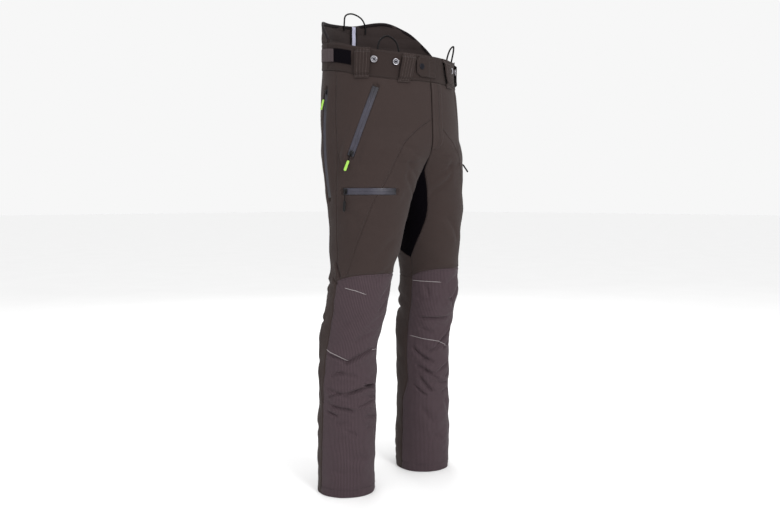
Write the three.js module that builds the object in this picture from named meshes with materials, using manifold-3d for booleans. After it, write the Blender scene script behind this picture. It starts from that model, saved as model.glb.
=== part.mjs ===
// Chainsaw protection trousers, standing on their two hems.
// Millimetres, +Z up. The wearer faces -Y, the wearer's left is +X, and the origin is on the
// floor midway between the hems. Cloth is thickened inwards from one smooth body surface.

import * as THREE from 'three';
import { mergeVertices } from 'three/addons/utils/BufferGeometryUtils.js';
import Module from 'manifold-3d';

const wasm = await Module();
wasm.setup();

// ---------- Driving dimensions ----------

const INSIDE_LEG = 765;
const KNEE_SEAM_HEIGHT = 527;
const RISE = 271;
const WAIST_WIDTH = 368;
const WAIST_DEPTH = 270;
const HIP_WIDTH = 392;
const HIP_DEPTH = 274;
const THIGH_WIDTH = 190;
const LOW_THIGH_WIDTH = 172;
const KNEE_WIDTH = 150;
const SHIN_WIDTH = 141;
const HEM_WIDTH = 140;
const STANCE = 270;

const CLOTH = 1.6;
const SEAM_GAP = 0.4;
const LAY_GAP = 0.8;
const STATION_STEP = 40;
const PAD_THICKNESS = 4.5;
const PAD_CLEARANCE = 4;
const BAND_PROUD = 1.2;
const BAND_THICKNESS = 3.2;
const BAND_HEIGHT = 61;
const GUARD_RISE = 105;
const GUARD_THICKNESS = 4.6;

const LOOP_WIDTH = 34;
const LOOP_STANDOFF = 6;
const LOOP_CLOTH = 1.5;
const LOOP_FOOT = 8;
const BRACE_BUTTON_RADIUS = 7.5;
const SNAP_RADIUS = 7;
const TAB_HEIGHT = 48;
const TAB_CLOTH = 2.4;
const STRAP_WIDTH = 30;
const STRAP_CLOTH = 1.4;
const PATCH_CLOTH = 1.1;

const ZIP_TAPE_WIDTH = 15;
const ZIP_TAPE_THICKNESS = 1.2;
const ZIP_TAPE_PROUD = 0.5;
const SLIDER_LENGTH = 11;
const SLIDER_WIDTH = 8;
const BRIDGE_RADIUS = 3;
const BRIDGE_HOLE = 1.5;
const PULLER_CORD = 2.2;
const GRIP_RADIUS = 3.2;
const GRIP_LENGTH = 25;

const FLY_LENGTH = 158;
const FLY_WIDTH = 38;
const FLY_POCKET_DEPTH = 9;
const FLY_TAPE_WIDTH = 30;
const FLY_TAPE_START = 18;
const ELASTIC_DIAMETER = 4;

const DEG = Math.PI / 180;
const UP = new THREE.Vector3(0, 0, 1);

// ---------- Body surface ----------

// A monotone cubic through rows of [position, value, value, ...].
function curve(rows) {
  const count = rows.length;
  const slopes = rows[0].slice(1).map((_, column) => {
    const rise = [];
    for (let i = 0; i < count - 1; i += 1) {
      rise.push((rows[i + 1][column + 1] - rows[i][column + 1]) / (rows[i + 1][0] - rows[i][0]));
    }
    return rows.map((row, i) => {
      if (i === 0) return rise[0];
      if (i === count - 1) return rise[count - 2];
      if (rise[i - 1] * rise[i] <= 0) return 0;
      const before = rows[i][0] - rows[i - 1][0];
      const after = rows[i + 1][0] - rows[i][0];
      const weightA = 2 * after + before;
      const weightB = after + 2 * before;
      return (weightA + weightB) / (weightA / rise[i - 1] + weightB / rise[i]);
    });
  });
  return (position) => {
    let i = 0;
    while (i < count - 2 && position > rows[i + 1][0]) i += 1;
    const span = rows[i + 1][0] - rows[i][0];
    const t = Math.min(Math.max((position - rows[i][0]) / span, 0), 1);
    const values = slopes.map((slope, column) => {
      const a = rows[i][column + 1];
      const b = rows[i + 1][column + 1];
      return (2 * t ** 3 - 3 * t ** 2 + 1) * a + (t ** 3 - 2 * t ** 2 + t) * span * slope[i]
        + (3 * t ** 2 - 2 * t ** 3) * b + (t ** 3 - t ** 2) * span * slope[i + 1];
    });
    return values.length === 1 ? values[0] : values;
  };
}

const FRONT_RIM = INSIDE_LEG + RISE;
const onShin = (share) => share * KNEE_SEAM_HEIGHT;
const onThigh = (share) => KNEE_SEAM_HEIGHT + share * (INSIDE_LEG - KNEE_SEAM_HEIGHT);
const onSeat = (share) => INSIDE_LEG + share * RISE;

// A leg or seat section is an ellipse, cut off at the mid-plane where it would cross it:
// height, centre x, centre y, half width, half depth.
const hipCentre = (halfWidth) => HIP_WIDTH / 2 - halfWidth;
const thighTop = (HIP_WIDTH - THIGH_WIDTH) / 2 + 5;
const section = curve([
  [0, STANCE / 2, 14.6, HEM_WIDTH / 2, HEM_WIDTH / 2],
  [onShin(0.13), STANCE / 2, 14.6, HEM_WIDTH / 2, HEM_WIDTH / 2],
  [onShin(0.32), STANCE / 2 - 1, 12, HEM_WIDTH / 2 - 1, HEM_WIDTH / 2 - 1],
  [onShin(0.645), STANCE / 2 - 3, 11, SHIN_WIDTH / 2, SHIN_WIDTH / 2],
  [onShin(0.865), STANCE / 2 - 10, -15, KNEE_WIDTH / 2, KNEE_WIDTH / 2],
  [onShin(1.01), STANCE / 2 - 17, -23, KNEE_WIDTH / 2 + 1.5, KNEE_WIDTH / 2 + 1.5],
  [onThigh(0.31), hipCentre(LOW_THIGH_WIDTH / 2) - 2.5, -25.5, LOW_THIGH_WIDTH / 2, LOW_THIGH_WIDTH / 2],
  [onThigh(0.59), hipCentre(THIGH_WIDTH / 2) - 1, -26.5, THIGH_WIDTH / 2, THIGH_WIDTH / 2],
  [onThigh(0.81), hipCentre(thighTop), -22, thighTop, THIGH_WIDTH / 2 + 10],
  [onSeat(0.037), HIP_WIDTH / 2 - 124, -16, 124, HIP_DEPTH / 2 - 17],
  [onSeat(0.203), 40, -11, HIP_WIDTH / 2 - 38, HIP_DEPTH / 2 - 4],
  [onSeat(0.387), 0, -5, HIP_WIDTH / 2, HIP_DEPTH / 2],
  [onSeat(0.646), 0, 0, (HIP_WIDTH + WAIST_WIDTH) / 4, HIP_DEPTH / 2 + 2],
  [onSeat(0.889), 0, 2, WAIST_WIDTH / 2, WAIST_DEPTH / 2],
  [onSeat(1.55), 0, 2, WAIST_WIDTH / 2, WAIST_DEPTH / 2],
]);

// Angle 0 is the outer side, -90 the front and 90 the back. Offset is outwards.
function surfacePoint(side, angle, height, offset = 0) {
  const [centreX, centreY, halfWidth, halfDepth] = section(height);
  const x = centreX + (halfWidth + offset) * Math.cos(angle * DEG);
  const y = centreY + (halfDepth + offset) * Math.sin(angle * DEG);
  return new THREE.Vector3(side * Math.max(x, SEAM_GAP / 2 - offset), y, height);
}

// The waist is one whole ellipse, so its pieces may cross the mid-plane.
function waistPoint(side, angle, height, offset = 0) {
  const [, centreY, halfWidth, halfDepth] = section(height);
  const x = (halfWidth + offset) * Math.cos(angle * DEG);
  return new THREE.Vector3(side * x, centreY + (halfDepth + offset) * Math.sin(angle * DEG), height);
}

function surfaceNormal(point, side, angle, height) {
  const around = point(side, angle + 1, height).sub(point(side, angle - 1, height));
  const along = point(side, angle, height + 2).sub(point(side, angle, height - 2));
  return around.cross(along).multiplyScalar(side).normalize();
}

function midPlaneAngle(height) {
  const [centreX, , halfWidth] = section(height);
  return Math.acos(Math.max(-1, Math.min(1, -centreX / halfWidth))) / DEG;
}

// ---------- Solids ----------

function solidFrom(positions, indices) {
  const geometry = new THREE.BufferGeometry();
  geometry.setAttribute('position', new THREE.Float32BufferAttribute(positions, 3));
  geometry.setIndex(indices);
  const merged = mergeVertices(geometry, 1e-4);
  const corner = (i) => new THREE.Vector3().fromBufferAttribute(merged.attributes.position, merged.index.getX(i));
  let volume = 0;
  const faces = [];
  for (let i = 0; i < merged.index.count; i += 3) {
    const a = merged.index.getX(i);
    const b = merged.index.getX(i + 1);
    const c = merged.index.getX(i + 2);
    if (a === b || b === c || c === a) continue;
    faces.push([a, b, c]);
    volume += corner(i).dot(corner(i + 1).cross(corner(i + 2)));
  }
  merged.setIndex(faces.flatMap(([a, b, c]) => (volume > 0 ? [a, b, c] : [a, c, b])));
  return merged;
}

// A curved slab: skin(u, v) returns its outer and inner points.
function slab(columns, rows, skin) {
  const positions = [];
  const indices = [];
  const stride = columns + 1;
  const layer = stride * (rows + 1);
  for (const face of ['outer', 'inner']) {
    for (let row = 0; row <= rows; row += 1) {
      for (let column = 0; column <= columns; column += 1) {
        positions.push(...skin(column / columns, row / rows)[face].toArray());
      }
    }
  }
  const quad = (a, b, c, d) => indices.push(a, b, c, a, c, d);
  for (let row = 0; row < rows; row += 1) {
    for (let column = 0; column < columns; column += 1) {
      const a = row * stride + column;
      quad(a, a + 1, a + stride + 1, a + stride);
      quad(layer + a, layer + a + stride, layer + a + stride + 1, layer + a + 1);
    }
    const left = row * stride;
    const right = left + columns;
    quad(left, left + stride, layer + left + stride, layer + left);
    quad(right, layer + right, layer + right + stride, right + stride);
  }
  for (let column = 0; column < columns; column += 1) {
    const bottom = column;
    const top = rows * stride + column;
    quad(bottom, layer + bottom, layer + bottom + 1, bottom + 1);
    quad(top, top + 1, layer + top + 1, layer + top);
  }
  return solidFrom(positions, indices);
}

// A body through rings of points, closed by flat caps whose outline is given in 2D.
function loft(rings, outline) {
  const size = outline.length;
  const indices = [];
  for (let ring = 0; ring < rings.length - 1; ring += 1) {
    for (let i = 0; i < size; i += 1) {
      const next = (i + 1) % size;
      const a = ring * size + i;
      const b = ring * size + next;
      indices.push(a, b, b + size, a, b + size, a + size);
    }
  }
  const last = (rings.length - 1) * size;
  for (const [a, b, c] of THREE.ShapeUtils.triangulateShape(outline, [])) {
    indices.push(a, c, b, last + a, last + b, last + c);
  }
  return solidFrom(rings.flat().flatMap((point) => point.toArray()), indices);
}

function toManifold(geometry) {
  const bare = new THREE.BufferGeometry();
  bare.setAttribute('position', geometry.attributes.position.clone());
  if (geometry.index) bare.setIndex(geometry.index.clone());
  const merged = mergeVertices(bare, 1e-4);
  return new wasm.Manifold(new wasm.Mesh({
    numProp: 3,
    vertProperties: Float32Array.from(merged.attributes.position.array),
    triVerts: Uint32Array.from(merged.index.array),
  }));
}

function cutAway(geometry, cutters) {
  let body = toManifold(geometry);
  for (const cutter of cutters) body = body.subtract(toManifold(cutter));
  const result = body.getMesh();
  const cut = new THREE.BufferGeometry();
  cut.setAttribute('position', new THREE.Float32BufferAttribute(result.vertProperties, 3));
  cut.setIndex(Array.from(result.triVerts));
  return cut;
}

const trousers = new THREE.Group();

function add(name, geometry, look) {
  const piece = new THREE.Mesh(geometry, new THREE.MeshStandardMaterial(look));
  piece.name = name;
  trousers.add(piece);
  return piece;
}

const SHELL = { color: 0x42373a, roughness: 0.85, metalness: 0 };
const REINFORCED = { color: 0x504448, roughness: 0.8, metalness: 0 };
const GUSSET = { color: 0x0d0b0d, roughness: 0.9, metalness: 0 };
const PAD = { color: 0xd8c65a, roughness: 0.95, metalness: 0 };
const BAND = { color: 0x3d3336, roughness: 0.88, metalness: 0 };
const BINDING = { color: 0x2a2326, roughness: 0.9, metalness: 0 };
const ZIP_TAPE = { color: 0x43414f, roughness: 0.45, metalness: 0 };
const MOULDED = { color: 0x101012, roughness: 0.5, metalness: 0 };
const LIME = { color: 0xb5e86a, roughness: 0.5, metalness: 0 };
const STEEL = { color: 0xb8b8bc, roughness: 0.3, metalness: 0.9 };
const ELASTIC = { color: 0x17130f, roughness: 0.8, metalness: 0 };
const WEBBING = { color: 0x5a5048, roughness: 0.85, metalness: 0 };

// ---------- Seams, as angle by height or height by angle ----------

const GUSSET_TOP = INSIDE_LEG + 35;
const gussetFront = curve([
  [onThigh(0.12), -172], [onThigh(0.29), -155], [onThigh(0.41), -145], [onThigh(0.56), -136],
  [onThigh(0.81), -129], [INSIDE_LEG, -126], [GUSSET_TOP, -midPlaneAngle(GUSSET_TOP)],
]);
const innerFront = (height) => (height > GUSSET_TOP ? -midPlaneAngle(height) : gussetFront(height));
const innerBack = (height) => -innerFront(height) + 16 * Math.max(0, (-innerFront(height) - 164) / 8);
const crotchHeight = (angle) => (
  INSIDE_LEG + (GUSSET_TOP - INSIDE_LEG) * ((180 - Math.abs(angle)) / (180 - midPlaneAngle(GUSSET_TOP))) ** 2);

const DIAGONAL_TOP = onSeat(0.46);
const diagonalSeam = curve([
  [KNEE_SEAM_HEIGHT - 5, -21], [onThigh(0.235), -31], [onThigh(0.51), -44], [onThigh(0.74), -54.5],
  [onThigh(0.87), -63.5], [INSIDE_LEG + 10, -68.5], [onSeat(0.21), -70], [onSeat(0.343), -75.5],
  [DIAGONAL_TOP, -90],
]);
const SIDE_PANEL_FOOT = onShin(0.42);
const sideSeam = curve([
  [SIDE_PANEL_FOOT - 8, 9], [SIDE_PANEL_FOOT + 12, 8], [onShin(0.67), -2.5], [onShin(0.9), -0.5], [KNEE_SEAM_HEIGHT, 1], [onThigh(0.4), 4],
  [onThigh(0.9), -1.5], [onSeat(0.26), -6], [onSeat(0.87), -4],
]);
const sideBack = curve([
  [SIDE_PANEL_FOOT, 13], [onShin(0.66), 22], [KNEE_SEAM_HEIGHT, 30], [onSeat(0.9), 30],
]);
const shinInner = curve([[SIDE_PANEL_FOOT - 40, -186], [SIDE_PANEL_FOOT + 20, -172], [KNEE_SEAM_HEIGHT, -172]]);
const kneeTop = (angle) => KNEE_SEAM_HEIGHT - 20 * Math.abs((angle + 85) / 90) ** 3;
const KNEE_BACK_HEIGHT = KNEE_SEAM_HEIGHT - 20;

const bandLower = curve([
  [-90, FRONT_RIM - BAND_HEIGHT + 1], [-60, FRONT_RIM - BAND_HEIGHT], [-37, FRONT_RIM - BAND_HEIGHT + 5],
  [-5, FRONT_RIM - BAND_HEIGHT + 21], [30, FRONT_RIM - BAND_HEIGHT + 31], [90, FRONT_RIM - BAND_HEIGHT + 35],
]);
const bandUpper = (angle) => bandLower(angle) + BAND_HEIGHT + 3 * Math.sin((angle + 90) * DEG);
const guardTop = curve([
  [6, bandUpper(6) + 4], [18, FRONT_RIM + 65], [38, FRONT_RIM + GUARD_RISE + 4],
  [59, FRONT_RIM + GUARD_RISE + 24], [90, FRONT_RIM + GUARD_RISE + 4],
]);
// The guard's rim sits lower on the wearer's right.
const guardTopRight = curve([
  [6, bandUpper(6) + 4], [18, FRONT_RIM + 62], [38, FRONT_RIM + GUARD_RISE - 13],
  [59, FRONT_RIM + GUARD_RISE - 6], [90, FRONT_RIM + GUARD_RISE + 4],
]);

// Every panel bends at the same heights, so that neighbours match along the seam they share.
const stations = [
  SIDE_PANEL_FOOT - 8, SIDE_PANEL_FOOT, KNEE_BACK_HEIGHT, INSIDE_LEG, GUSSET_TOP, onSeat(0.25), onSeat(0.343), DIAGONAL_TOP,
];
for (let height = STATION_STEP; height < FRONT_RIM; height += STATION_STEP) {
  if (stations.every((station) => Math.abs(station - height) > STATION_STEP / 3)) stations.push(height);
}
stations.sort((a, b) => a - b);

// A cloth panel between two seams by height and two by angle, drawn in by half a seam gap.
function clothPanel({ side, from, to, bottom, top, columns, outside = 0, thickness = CLOTH, floor = false }) {
  const inset = (height) => SEAM_GAP / 2 / section(height)[2] / DEG;
  const angleAt = (u, height) => {
    const first = from(height) + inset(height);
    return first + (to(height) - inset(height) - first) * u;
  };
  const settle = (u, edge) => {
    let height = edge(-90);
    for (let pass = 0; pass < 8; pass += 1) height = edge(angleAt(u, height));
    return height;
  };
  const shares = Array.from({ length: columns + 1 }, (_, column) => column / columns);
  const lows = shares.map((u) => settle(u, bottom) + (floor ? 0 : SEAM_GAP));
  const highs = shares.map((u) => settle(u, top) - SEAM_GAP);
  const [lowest, highest] = [Math.min(...lows), Math.max(...highs)];
  const between = stations.filter((height) => height > lowest + 5 && height < highest - 5);
  const rows = between.length + 1;
  const reach = 75;
  const bend = (height, low, high) => (
    height + (high - highest) * Math.max(0, (height - highest + reach) / reach)
    + (low - lowest) * Math.max(0, (lowest + reach - height) / reach));
  return slab(columns, rows, (u, v) => {
    const column = Math.round(u * columns);
    const row = Math.round(v * rows);
    const height = bend([lowest, ...between, highest][row], lows[column], highs[column]);
    const angle = angleAt(u, height);
    return {
      outer: surfacePoint(side, angle, height, outside),
      inner: surfacePoint(side, angle, height, outside - thickness),
    };
  });
}

// A piece on the waistband, whose offsets may change along it.
function waistPiece({ side = 1, from, to, bottom, top, columns, rows, outer, inner }) {
  return slab(columns, rows, (u, v) => {
    const angle = from + (to - from) * u;
    const low = bottom(angle);
    const height = low + (top(angle) - low) * v;
    return {
      outer: waistPoint(side, angle, height, outer(angle, height, v)),
      inner: waistPoint(side, angle, height, inner(angle, height, v)),
    };
  });
}

// ---------- Zips ----------

const flat = (value) => () => value;

// The arc through three places on the surface. frameAt(share) is the tape's frame there:
// X across the tape, Y along it and Z out of the cloth, all turned rigidly about the arc's axis.
function zipArc(side, start, middle, end) {
  const place = ([angle, height]) => surfacePoint(side, angle, height, ZIP_TAPE_PROUD);
  const [a, b, c] = [start, middle, end].map(place);
  const ab = b.clone().sub(a);
  const ac = c.clone().sub(a);
  const axis = ab.clone().cross(ac).normalize();
  const cross = ab.clone().cross(ac);
  const centre = a.clone().add(
    cross.clone().cross(ab).multiplyScalar(ac.lengthSq())
      .add(ac.clone().cross(cross).multiplyScalar(ab.lengthSq()))
      .divideScalar(2 * cross.lengthSq()),
  );
  const spokeA = a.clone().sub(centre);
  const spokeB = b.clone().sub(centre);
  const sweepTo = (spoke) => Math.atan2(spokeA.clone().cross(spoke).dot(axis), spokeA.dot(spoke));
  const sweep = sweepTo(c.clone().sub(centre));
  const middleTurn = sweepTo(spokeB);
  const along = axis.clone().cross(spokeB).normalize();
  const out = surfaceNormal(surfacePoint, side, middle[0], middle[1]);
  out.addScaledVector(along, -out.dot(along)).normalize();
  const across = along.clone().cross(out);
  const frameAt = (share) => {
    const turn = new THREE.Quaternion().setFromAxisAngle(axis, sweep * share - middleTurn);
    const basis = [across, along, out].map((vector) => vector.clone().applyQuaternion(turn));
    const origin = spokeB.clone().applyQuaternion(turn).add(centre);
    return new THREE.Matrix4().makeBasis(...basis).setPosition(origin);
  };
  return { axis, centre, sweep, length: Math.abs(sweep) * spokeA.length(), frameAt };
}

function zipStrip(arc, width, low, high, firstShare, lastShare, steps) {
  const outline = [
    new THREE.Vector2(-width / 2, low), new THREE.Vector2(width / 2, low),
    new THREE.Vector2(width / 2, high), new THREE.Vector2(-width / 2, high),
  ];
  const rings = [];
  for (let step = 0; step <= steps; step += 1) {
    const frame = arc.frameAt(firstShare + (lastShare - firstShare) * (step / steps));
    rings.push(outline.map((corner) => new THREE.Vector3(corner.x, 0, corner.y).applyMatrix4(frame)));
  }
  return loft(rings, outline);
}

const WINDOW_DEPTH = 8;
const zipWindow = (arc) => {
  const margin = SEAM_GAP / arc.length;
  return zipStrip(arc, ZIP_TAPE_WIDTH + 2 * SEAM_GAP, -WINDOW_DEPTH, WINDOW_DEPTH, -margin, 1 + margin, 14);
};

const BRIDGE_HEIGHT = 3.9;
const SLIDER_BASE = 2.2;

// Local frame: Y along the hang of the puller, X along the pivot, Z out of the cloth.
function sliderBody() {
  const shoulder = Math.sqrt(BRIDGE_RADIUS ** 2 - (BRIDGE_HEIGHT - SLIDER_BASE) ** 2);
  const shoulderAngle = Math.atan2(SLIDER_BASE - BRIDGE_HEIGHT, shoulder);
  const profile = new THREE.Shape();
  profile.moveTo(-SLIDER_LENGTH / 2, SEAM_GAP);
  profile.lineTo(SLIDER_LENGTH / 2, SEAM_GAP);
  profile.lineTo(SLIDER_LENGTH / 2, SLIDER_BASE);
  profile.lineTo(shoulder, SLIDER_BASE);
  profile.absarc(0, BRIDGE_HEIGHT, BRIDGE_RADIUS, shoulderAngle, Math.PI - shoulderAngle, false);
  profile.lineTo(-SLIDER_LENGTH / 2, SLIDER_BASE);
  profile.holes.push(new THREE.Path().absarc(0, BRIDGE_HEIGHT, BRIDGE_HOLE, 0, 2 * Math.PI, true));
  const body = new THREE.ExtrudeGeometry(profile, {
    depth: SLIDER_WIDTH, bevelEnabled: false, curveSegments: 4,
  });
  body.translate(0, 0, -SLIDER_WIDTH / 2);
  body.applyMatrix4(new THREE.Matrix4().makeBasis(
    new THREE.Vector3(0, 1, 0), new THREE.Vector3(0, 0, 1), new THREE.Vector3(1, 0, 0),
  ));
  return body;
}

// A cord with a moulded grip, turned about its own line, pointing along -Y from the pivot.
function pullerBody(cordLength) {
  const cord = PULLER_CORD / 2;
  const start = BRIDGE_RADIUS + SEAM_GAP;
  const gripStart = start + cordLength;
  const gripEnd = gripStart + GRIP_LENGTH;
  const outline = [
    [0, start], [cord, start], [cord, gripStart], [GRIP_RADIUS * 0.8, gripStart + 2],
    [GRIP_RADIUS, gripStart + 6], [GRIP_RADIUS, gripEnd - 3], [GRIP_RADIUS * 0.6, gripEnd], [0, gripEnd],
  ].map(([radius, distance]) => new THREE.Vector2(radius, -distance));
  return new THREE.LatheGeometry(outline.reverse(), 8);
}

function addZip({ name, side, start, middle, end, hang, cordLength, lift, grip }) {
  const arc = zipArc(side, start, middle, end);
  add(`${name}_zip_tape`, zipStrip(arc, ZIP_TAPE_WIDTH, -ZIP_TAPE_THICKNESS, 0, 0, 1, 12), ZIP_TAPE);
  const rest = (SLIDER_LENGTH / 2 + 1) / arc.length;
  const seat = arc.frameAt(rest);
  if (hang === 'across') seat.multiply(new THREE.Matrix4().makeRotationZ(Math.PI / 2));
  const upward = new THREE.Vector3().setFromMatrixColumn(seat, 1).dot(UP);
  if (upward < 0) seat.multiply(new THREE.Matrix4().makeRotationZ(Math.PI));
  const slider = add(`${name}_zip_slider`, sliderBody(), MOULDED);
  slider.applyMatrix4(seat);
  slider.userData = { centre: arc.centre, axis: arc.axis, sweep: arc.sweep * (1 - 2 * rest) };
  const pivotAxis = new THREE.Vector3().setFromMatrixColumn(seat, 0).negate();
  const puller = add(`${name}_zip_puller`, pullerBody(cordLength), grip);
  puller.applyMatrix4(seat.clone()
    .multiply(new THREE.Matrix4().makeTranslation(0, 0, BRIDGE_HEIGHT))
    .multiply(new THREE.Matrix4().makeRotationX(-lift * DEG)));
  puller.userData = { centre: puller.position.clone(), axis: pivotAxis, lift };
  return zipWindow(arc);
}

const windows = { right: { pocket: null, thigh: null, vent: null }, left: { pocket: null, vent: null } };
const SIDES = [['right', -1], ['left', 1]];
for (const [word, side] of SIDES) {
  windows[word].pocket = addZip({
    name: `front_pocket_${word}`,
    side,
    start: [-21.5, onSeat(0.122)],
    middle: [-32.5, onSeat(0.413)],
    end: [-42.5, onSeat(0.705)],
    hang: 'along',
    cordLength: 15,
    lift: side > 0 ? 33 : 7,
    grip: side > 0 ? MOULDED : LIME,
  });
  windows[word].vent = addZip({
    name: `vent_${word}`,
    side,
    start: [9, onSeat(0.705)],
    middle: [14, onSeat(0.24)],
    end: [18, onThigh(0.74)],
    hang: 'along',
    cordLength: 15,
    lift: 7,
    grip: LIME,
  });
}
windows.right.thigh = addZip({
  name: 'thigh_pocket_right',
  side: -1,
  start: [-12, onThigh(0.8)],
  middle: [-46.5, onThigh(0.8)],
  end: [-81.5, onThigh(0.8)],
  hang: 'across',
  cordLength: 18,
  lift: 6,
  grip: MOULDED,
});

// ---------- Cloth shell and saw pads ----------

for (const [word, side] of SIDES) {
  const cuts = windows[word];
  const onlyCuts = (...list) => list.filter((cutter) => cutter !== null && cutter !== undefined);
  const bandSeam = (angle) => bandLower(Math.max(angle, -90));

  const outerFront = clothPanel({
    side,
    from: (height) => (height > DIAGONAL_TOP ? -midPlaneAngle(height) : diagonalSeam(height)),
    to: sideSeam,
    bottom: kneeTop,
    top: bandSeam,
    columns: 7,
  });
  add(`front_outer_panel_${word}`, cutAway(outerFront, onlyCuts(cuts.pocket, cuts.thigh)), SHELL);

  const innerFrontPanel = clothPanel({
    side,
    from: innerFront,
    to: diagonalSeam,
    bottom: kneeTop,
    top: flat(DIAGONAL_TOP - 4),
    columns: 9,
  });
  add(`front_inner_panel_${word}`, cutAway(innerFrontPanel, onlyCuts(cuts.thigh)), SHELL);

  const sidePanel = clothPanel({
    side,
    from: sideSeam,
    to: sideBack,
    bottom: flat(SIDE_PANEL_FOOT),
    top: bandLower,
    columns: 3,
  });
  add(`side_panel_${word}`, cutAway(sidePanel, onlyCuts(cuts.vent)), SHELL);

  add(`seat_and_back_panel_${word}`, clothPanel({
    side,
    from: sideBack,
    to: (height) => (height > GUSSET_TOP ? midPlaneAngle(height) : innerBack(height)),
    bottom: flat(KNEE_BACK_HEIGHT),
    top: (angle) => bandLower(Math.min(angle, 90)),
    columns: 9,
  }), SHELL);

  add(`knee_and_shin_panel_${word}`, clothPanel({
    side,
    from: shinInner,
    to: sideSeam,
    bottom: flat(0),
    top: kneeTop,
    columns: 12,
    floor: true,
  }), REINFORCED);

  add(`calf_panel_${word}`, clothPanel({
    side,
    from: (height) => (height >= SIDE_PANEL_FOOT ? sideBack(height) : sideSeam(height)),
    to: (height) => shinInner(height) + 360,
    bottom: flat(0),
    top: flat(KNEE_BACK_HEIGHT),
    columns: 10,
    floor: true,
  }), SHELL);

  add(`crotch_gusset_${word}`, clothPanel({
    side,
    from: (height) => -360 + innerBack(height),
    to: gussetFront,
    bottom: flat(onThigh(0.12)),
    top: (angle) => crotchHeight(angle < -180 ? angle + 360 : angle),
    columns: 8,
  }), GUSSET);

  const padInner = curve([[60, -164], [KNEE_SEAM_HEIGHT, -160], [onThigh(0.8), -112], [onSeat(0.2), -72]]);
  const padOuter = curve([[60, 14], [onThigh(0.5), 12], [onThigh(0.85), 4]]);
  add(`saw_pad_${word}`, clothPanel({
    side,
    from: padInner,
    to: padOuter,
    bottom: flat(60),
    top: flat(onSeat(0.35)),
    columns: 8,
    outside: -PAD_CLEARANCE,
    thickness: PAD_THICKNESS,
  }), PAD);
}

// ---------- Waistband and back guard ----------

const BAND_BACK_FROM = 8;
const bandOuter = flat(BAND_PROUD);
const bandInner = flat(BAND_PROUD - BAND_THICKNESS);
for (const [word, side] of SIDES) {
  add(`waistband_front_${word}`, waistPiece({
    side,
    from: -89.9,
    to: BAND_BACK_FROM - 0.1,
    bottom: (angle) => bandLower(angle) + SEAM_GAP / 2,
    top: bandUpper,
    columns: 14,
    rows: 3,
    outer: bandOuter,
    inner: bandInner,
  }), BAND);
}
const mirrored = (edge) => (angle) => edge(angle > 90 ? 180 - angle : angle);
add('waistband_back', waistPiece({
  from: BAND_BACK_FROM,
  to: 180 - BAND_BACK_FROM,
  bottom: mirrored((angle) => bandLower(angle) + SEAM_GAP / 2),
  top: mirrored(bandUpper),
  columns: 22,
  rows: 2,
  outer: bandOuter,
  inner: bandInner,
}), BAND);
add('back_guard', waistPiece({
  from: BAND_BACK_FROM,
  to: 180 - BAND_BACK_FROM,
  bottom: mirrored((angle) => bandUpper(angle) + SEAM_GAP),
  top: (angle) => (angle > 90 ? guardTopRight(180 - angle) : guardTop(angle)),
  columns: 22,
  rows: 4,
  outer: flat(BAND_PROUD),
  inner: flat(BAND_PROUD - GUARD_THICKNESS),
}), BINDING);

// ---------- Fly ----------

const flyTop = bandLower(-90) - 1;
const flyBottom = flyTop - FLY_LENGTH;
const frontFace = (x, height, offset) => {
  const [centreX, centreY, halfWidth, halfDepth] = section(height);
  const share = (Math.abs(x) - centreX) / (halfWidth + offset);
  return centreY - (halfDepth + offset) * Math.sqrt(1 - share ** 2);
};
const flyEdge = (height) => {
  const above = Math.min(1, (height - flyBottom) / FLY_WIDTH);
  return 3 + (FLY_WIDTH - 3) * Math.sqrt(1 - (1 - above) ** 2);
};
add('fly_flap', slab(5, 12, (u, v) => {
  const height = flyBottom + FLY_LENGTH * v;
  const x = -1 + (flyEdge(height) + 1) * u;
  return {
    outer: new THREE.Vector3(x, frontFace(x, height, LAY_GAP + 1.1), height),
    inner: new THREE.Vector3(x, frontFace(x, height, LAY_GAP), height),
  };
}), SHELL);

// The zip lies in a shallow channel behind the front edges, so that its slider runs free.
const flyPlane = Math.min(...[flyBottom, flyTop].map((height) => frontFace(0, height, 0))) + FLY_POCKET_DEPTH + 2;
const flyRings = [];
const flyHalf = FLY_TAPE_WIDTH / 2;
const flyOutline = [
  [-flyHalf - 4, 0], [-flyHalf, 0], [-flyHalf, 1], [flyHalf, 1],
  [flyHalf, 0], [flyHalf + 4, 0], [flyHalf + 4, 2], [-flyHalf - 4, 2],
];
for (let step = 0; step <= 8; step += 1) {
  const height = flyBottom + FLY_TAPE_START + (FLY_LENGTH - FLY_TAPE_START) * (step / 8);
  flyRings.push(flyOutline.map(([x, depth]) => {
    const front = frontFace(x, height, -CLOTH - LAY_GAP - 0.4);
    return new THREE.Vector3(x, depth === 0 ? front : flyPlane + depth - 1, height);
  }));
}
add('fly_zip_tape', loft(flyRings, flyOutline.map(([x, y]) => new THREE.Vector2(x, y))), ZIP_TAPE);
const flySlider = add('fly_zip_slider', sliderBody(), STEEL);
flySlider.rotation.x = Math.PI / 2;
flySlider.position.set(0, flyPlane, flyTop - 10);
flySlider.userData = { travel: FLY_LENGTH - 30 };

// ---------- Waist tab, snap, loops, buttons and adjusters ----------

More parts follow.
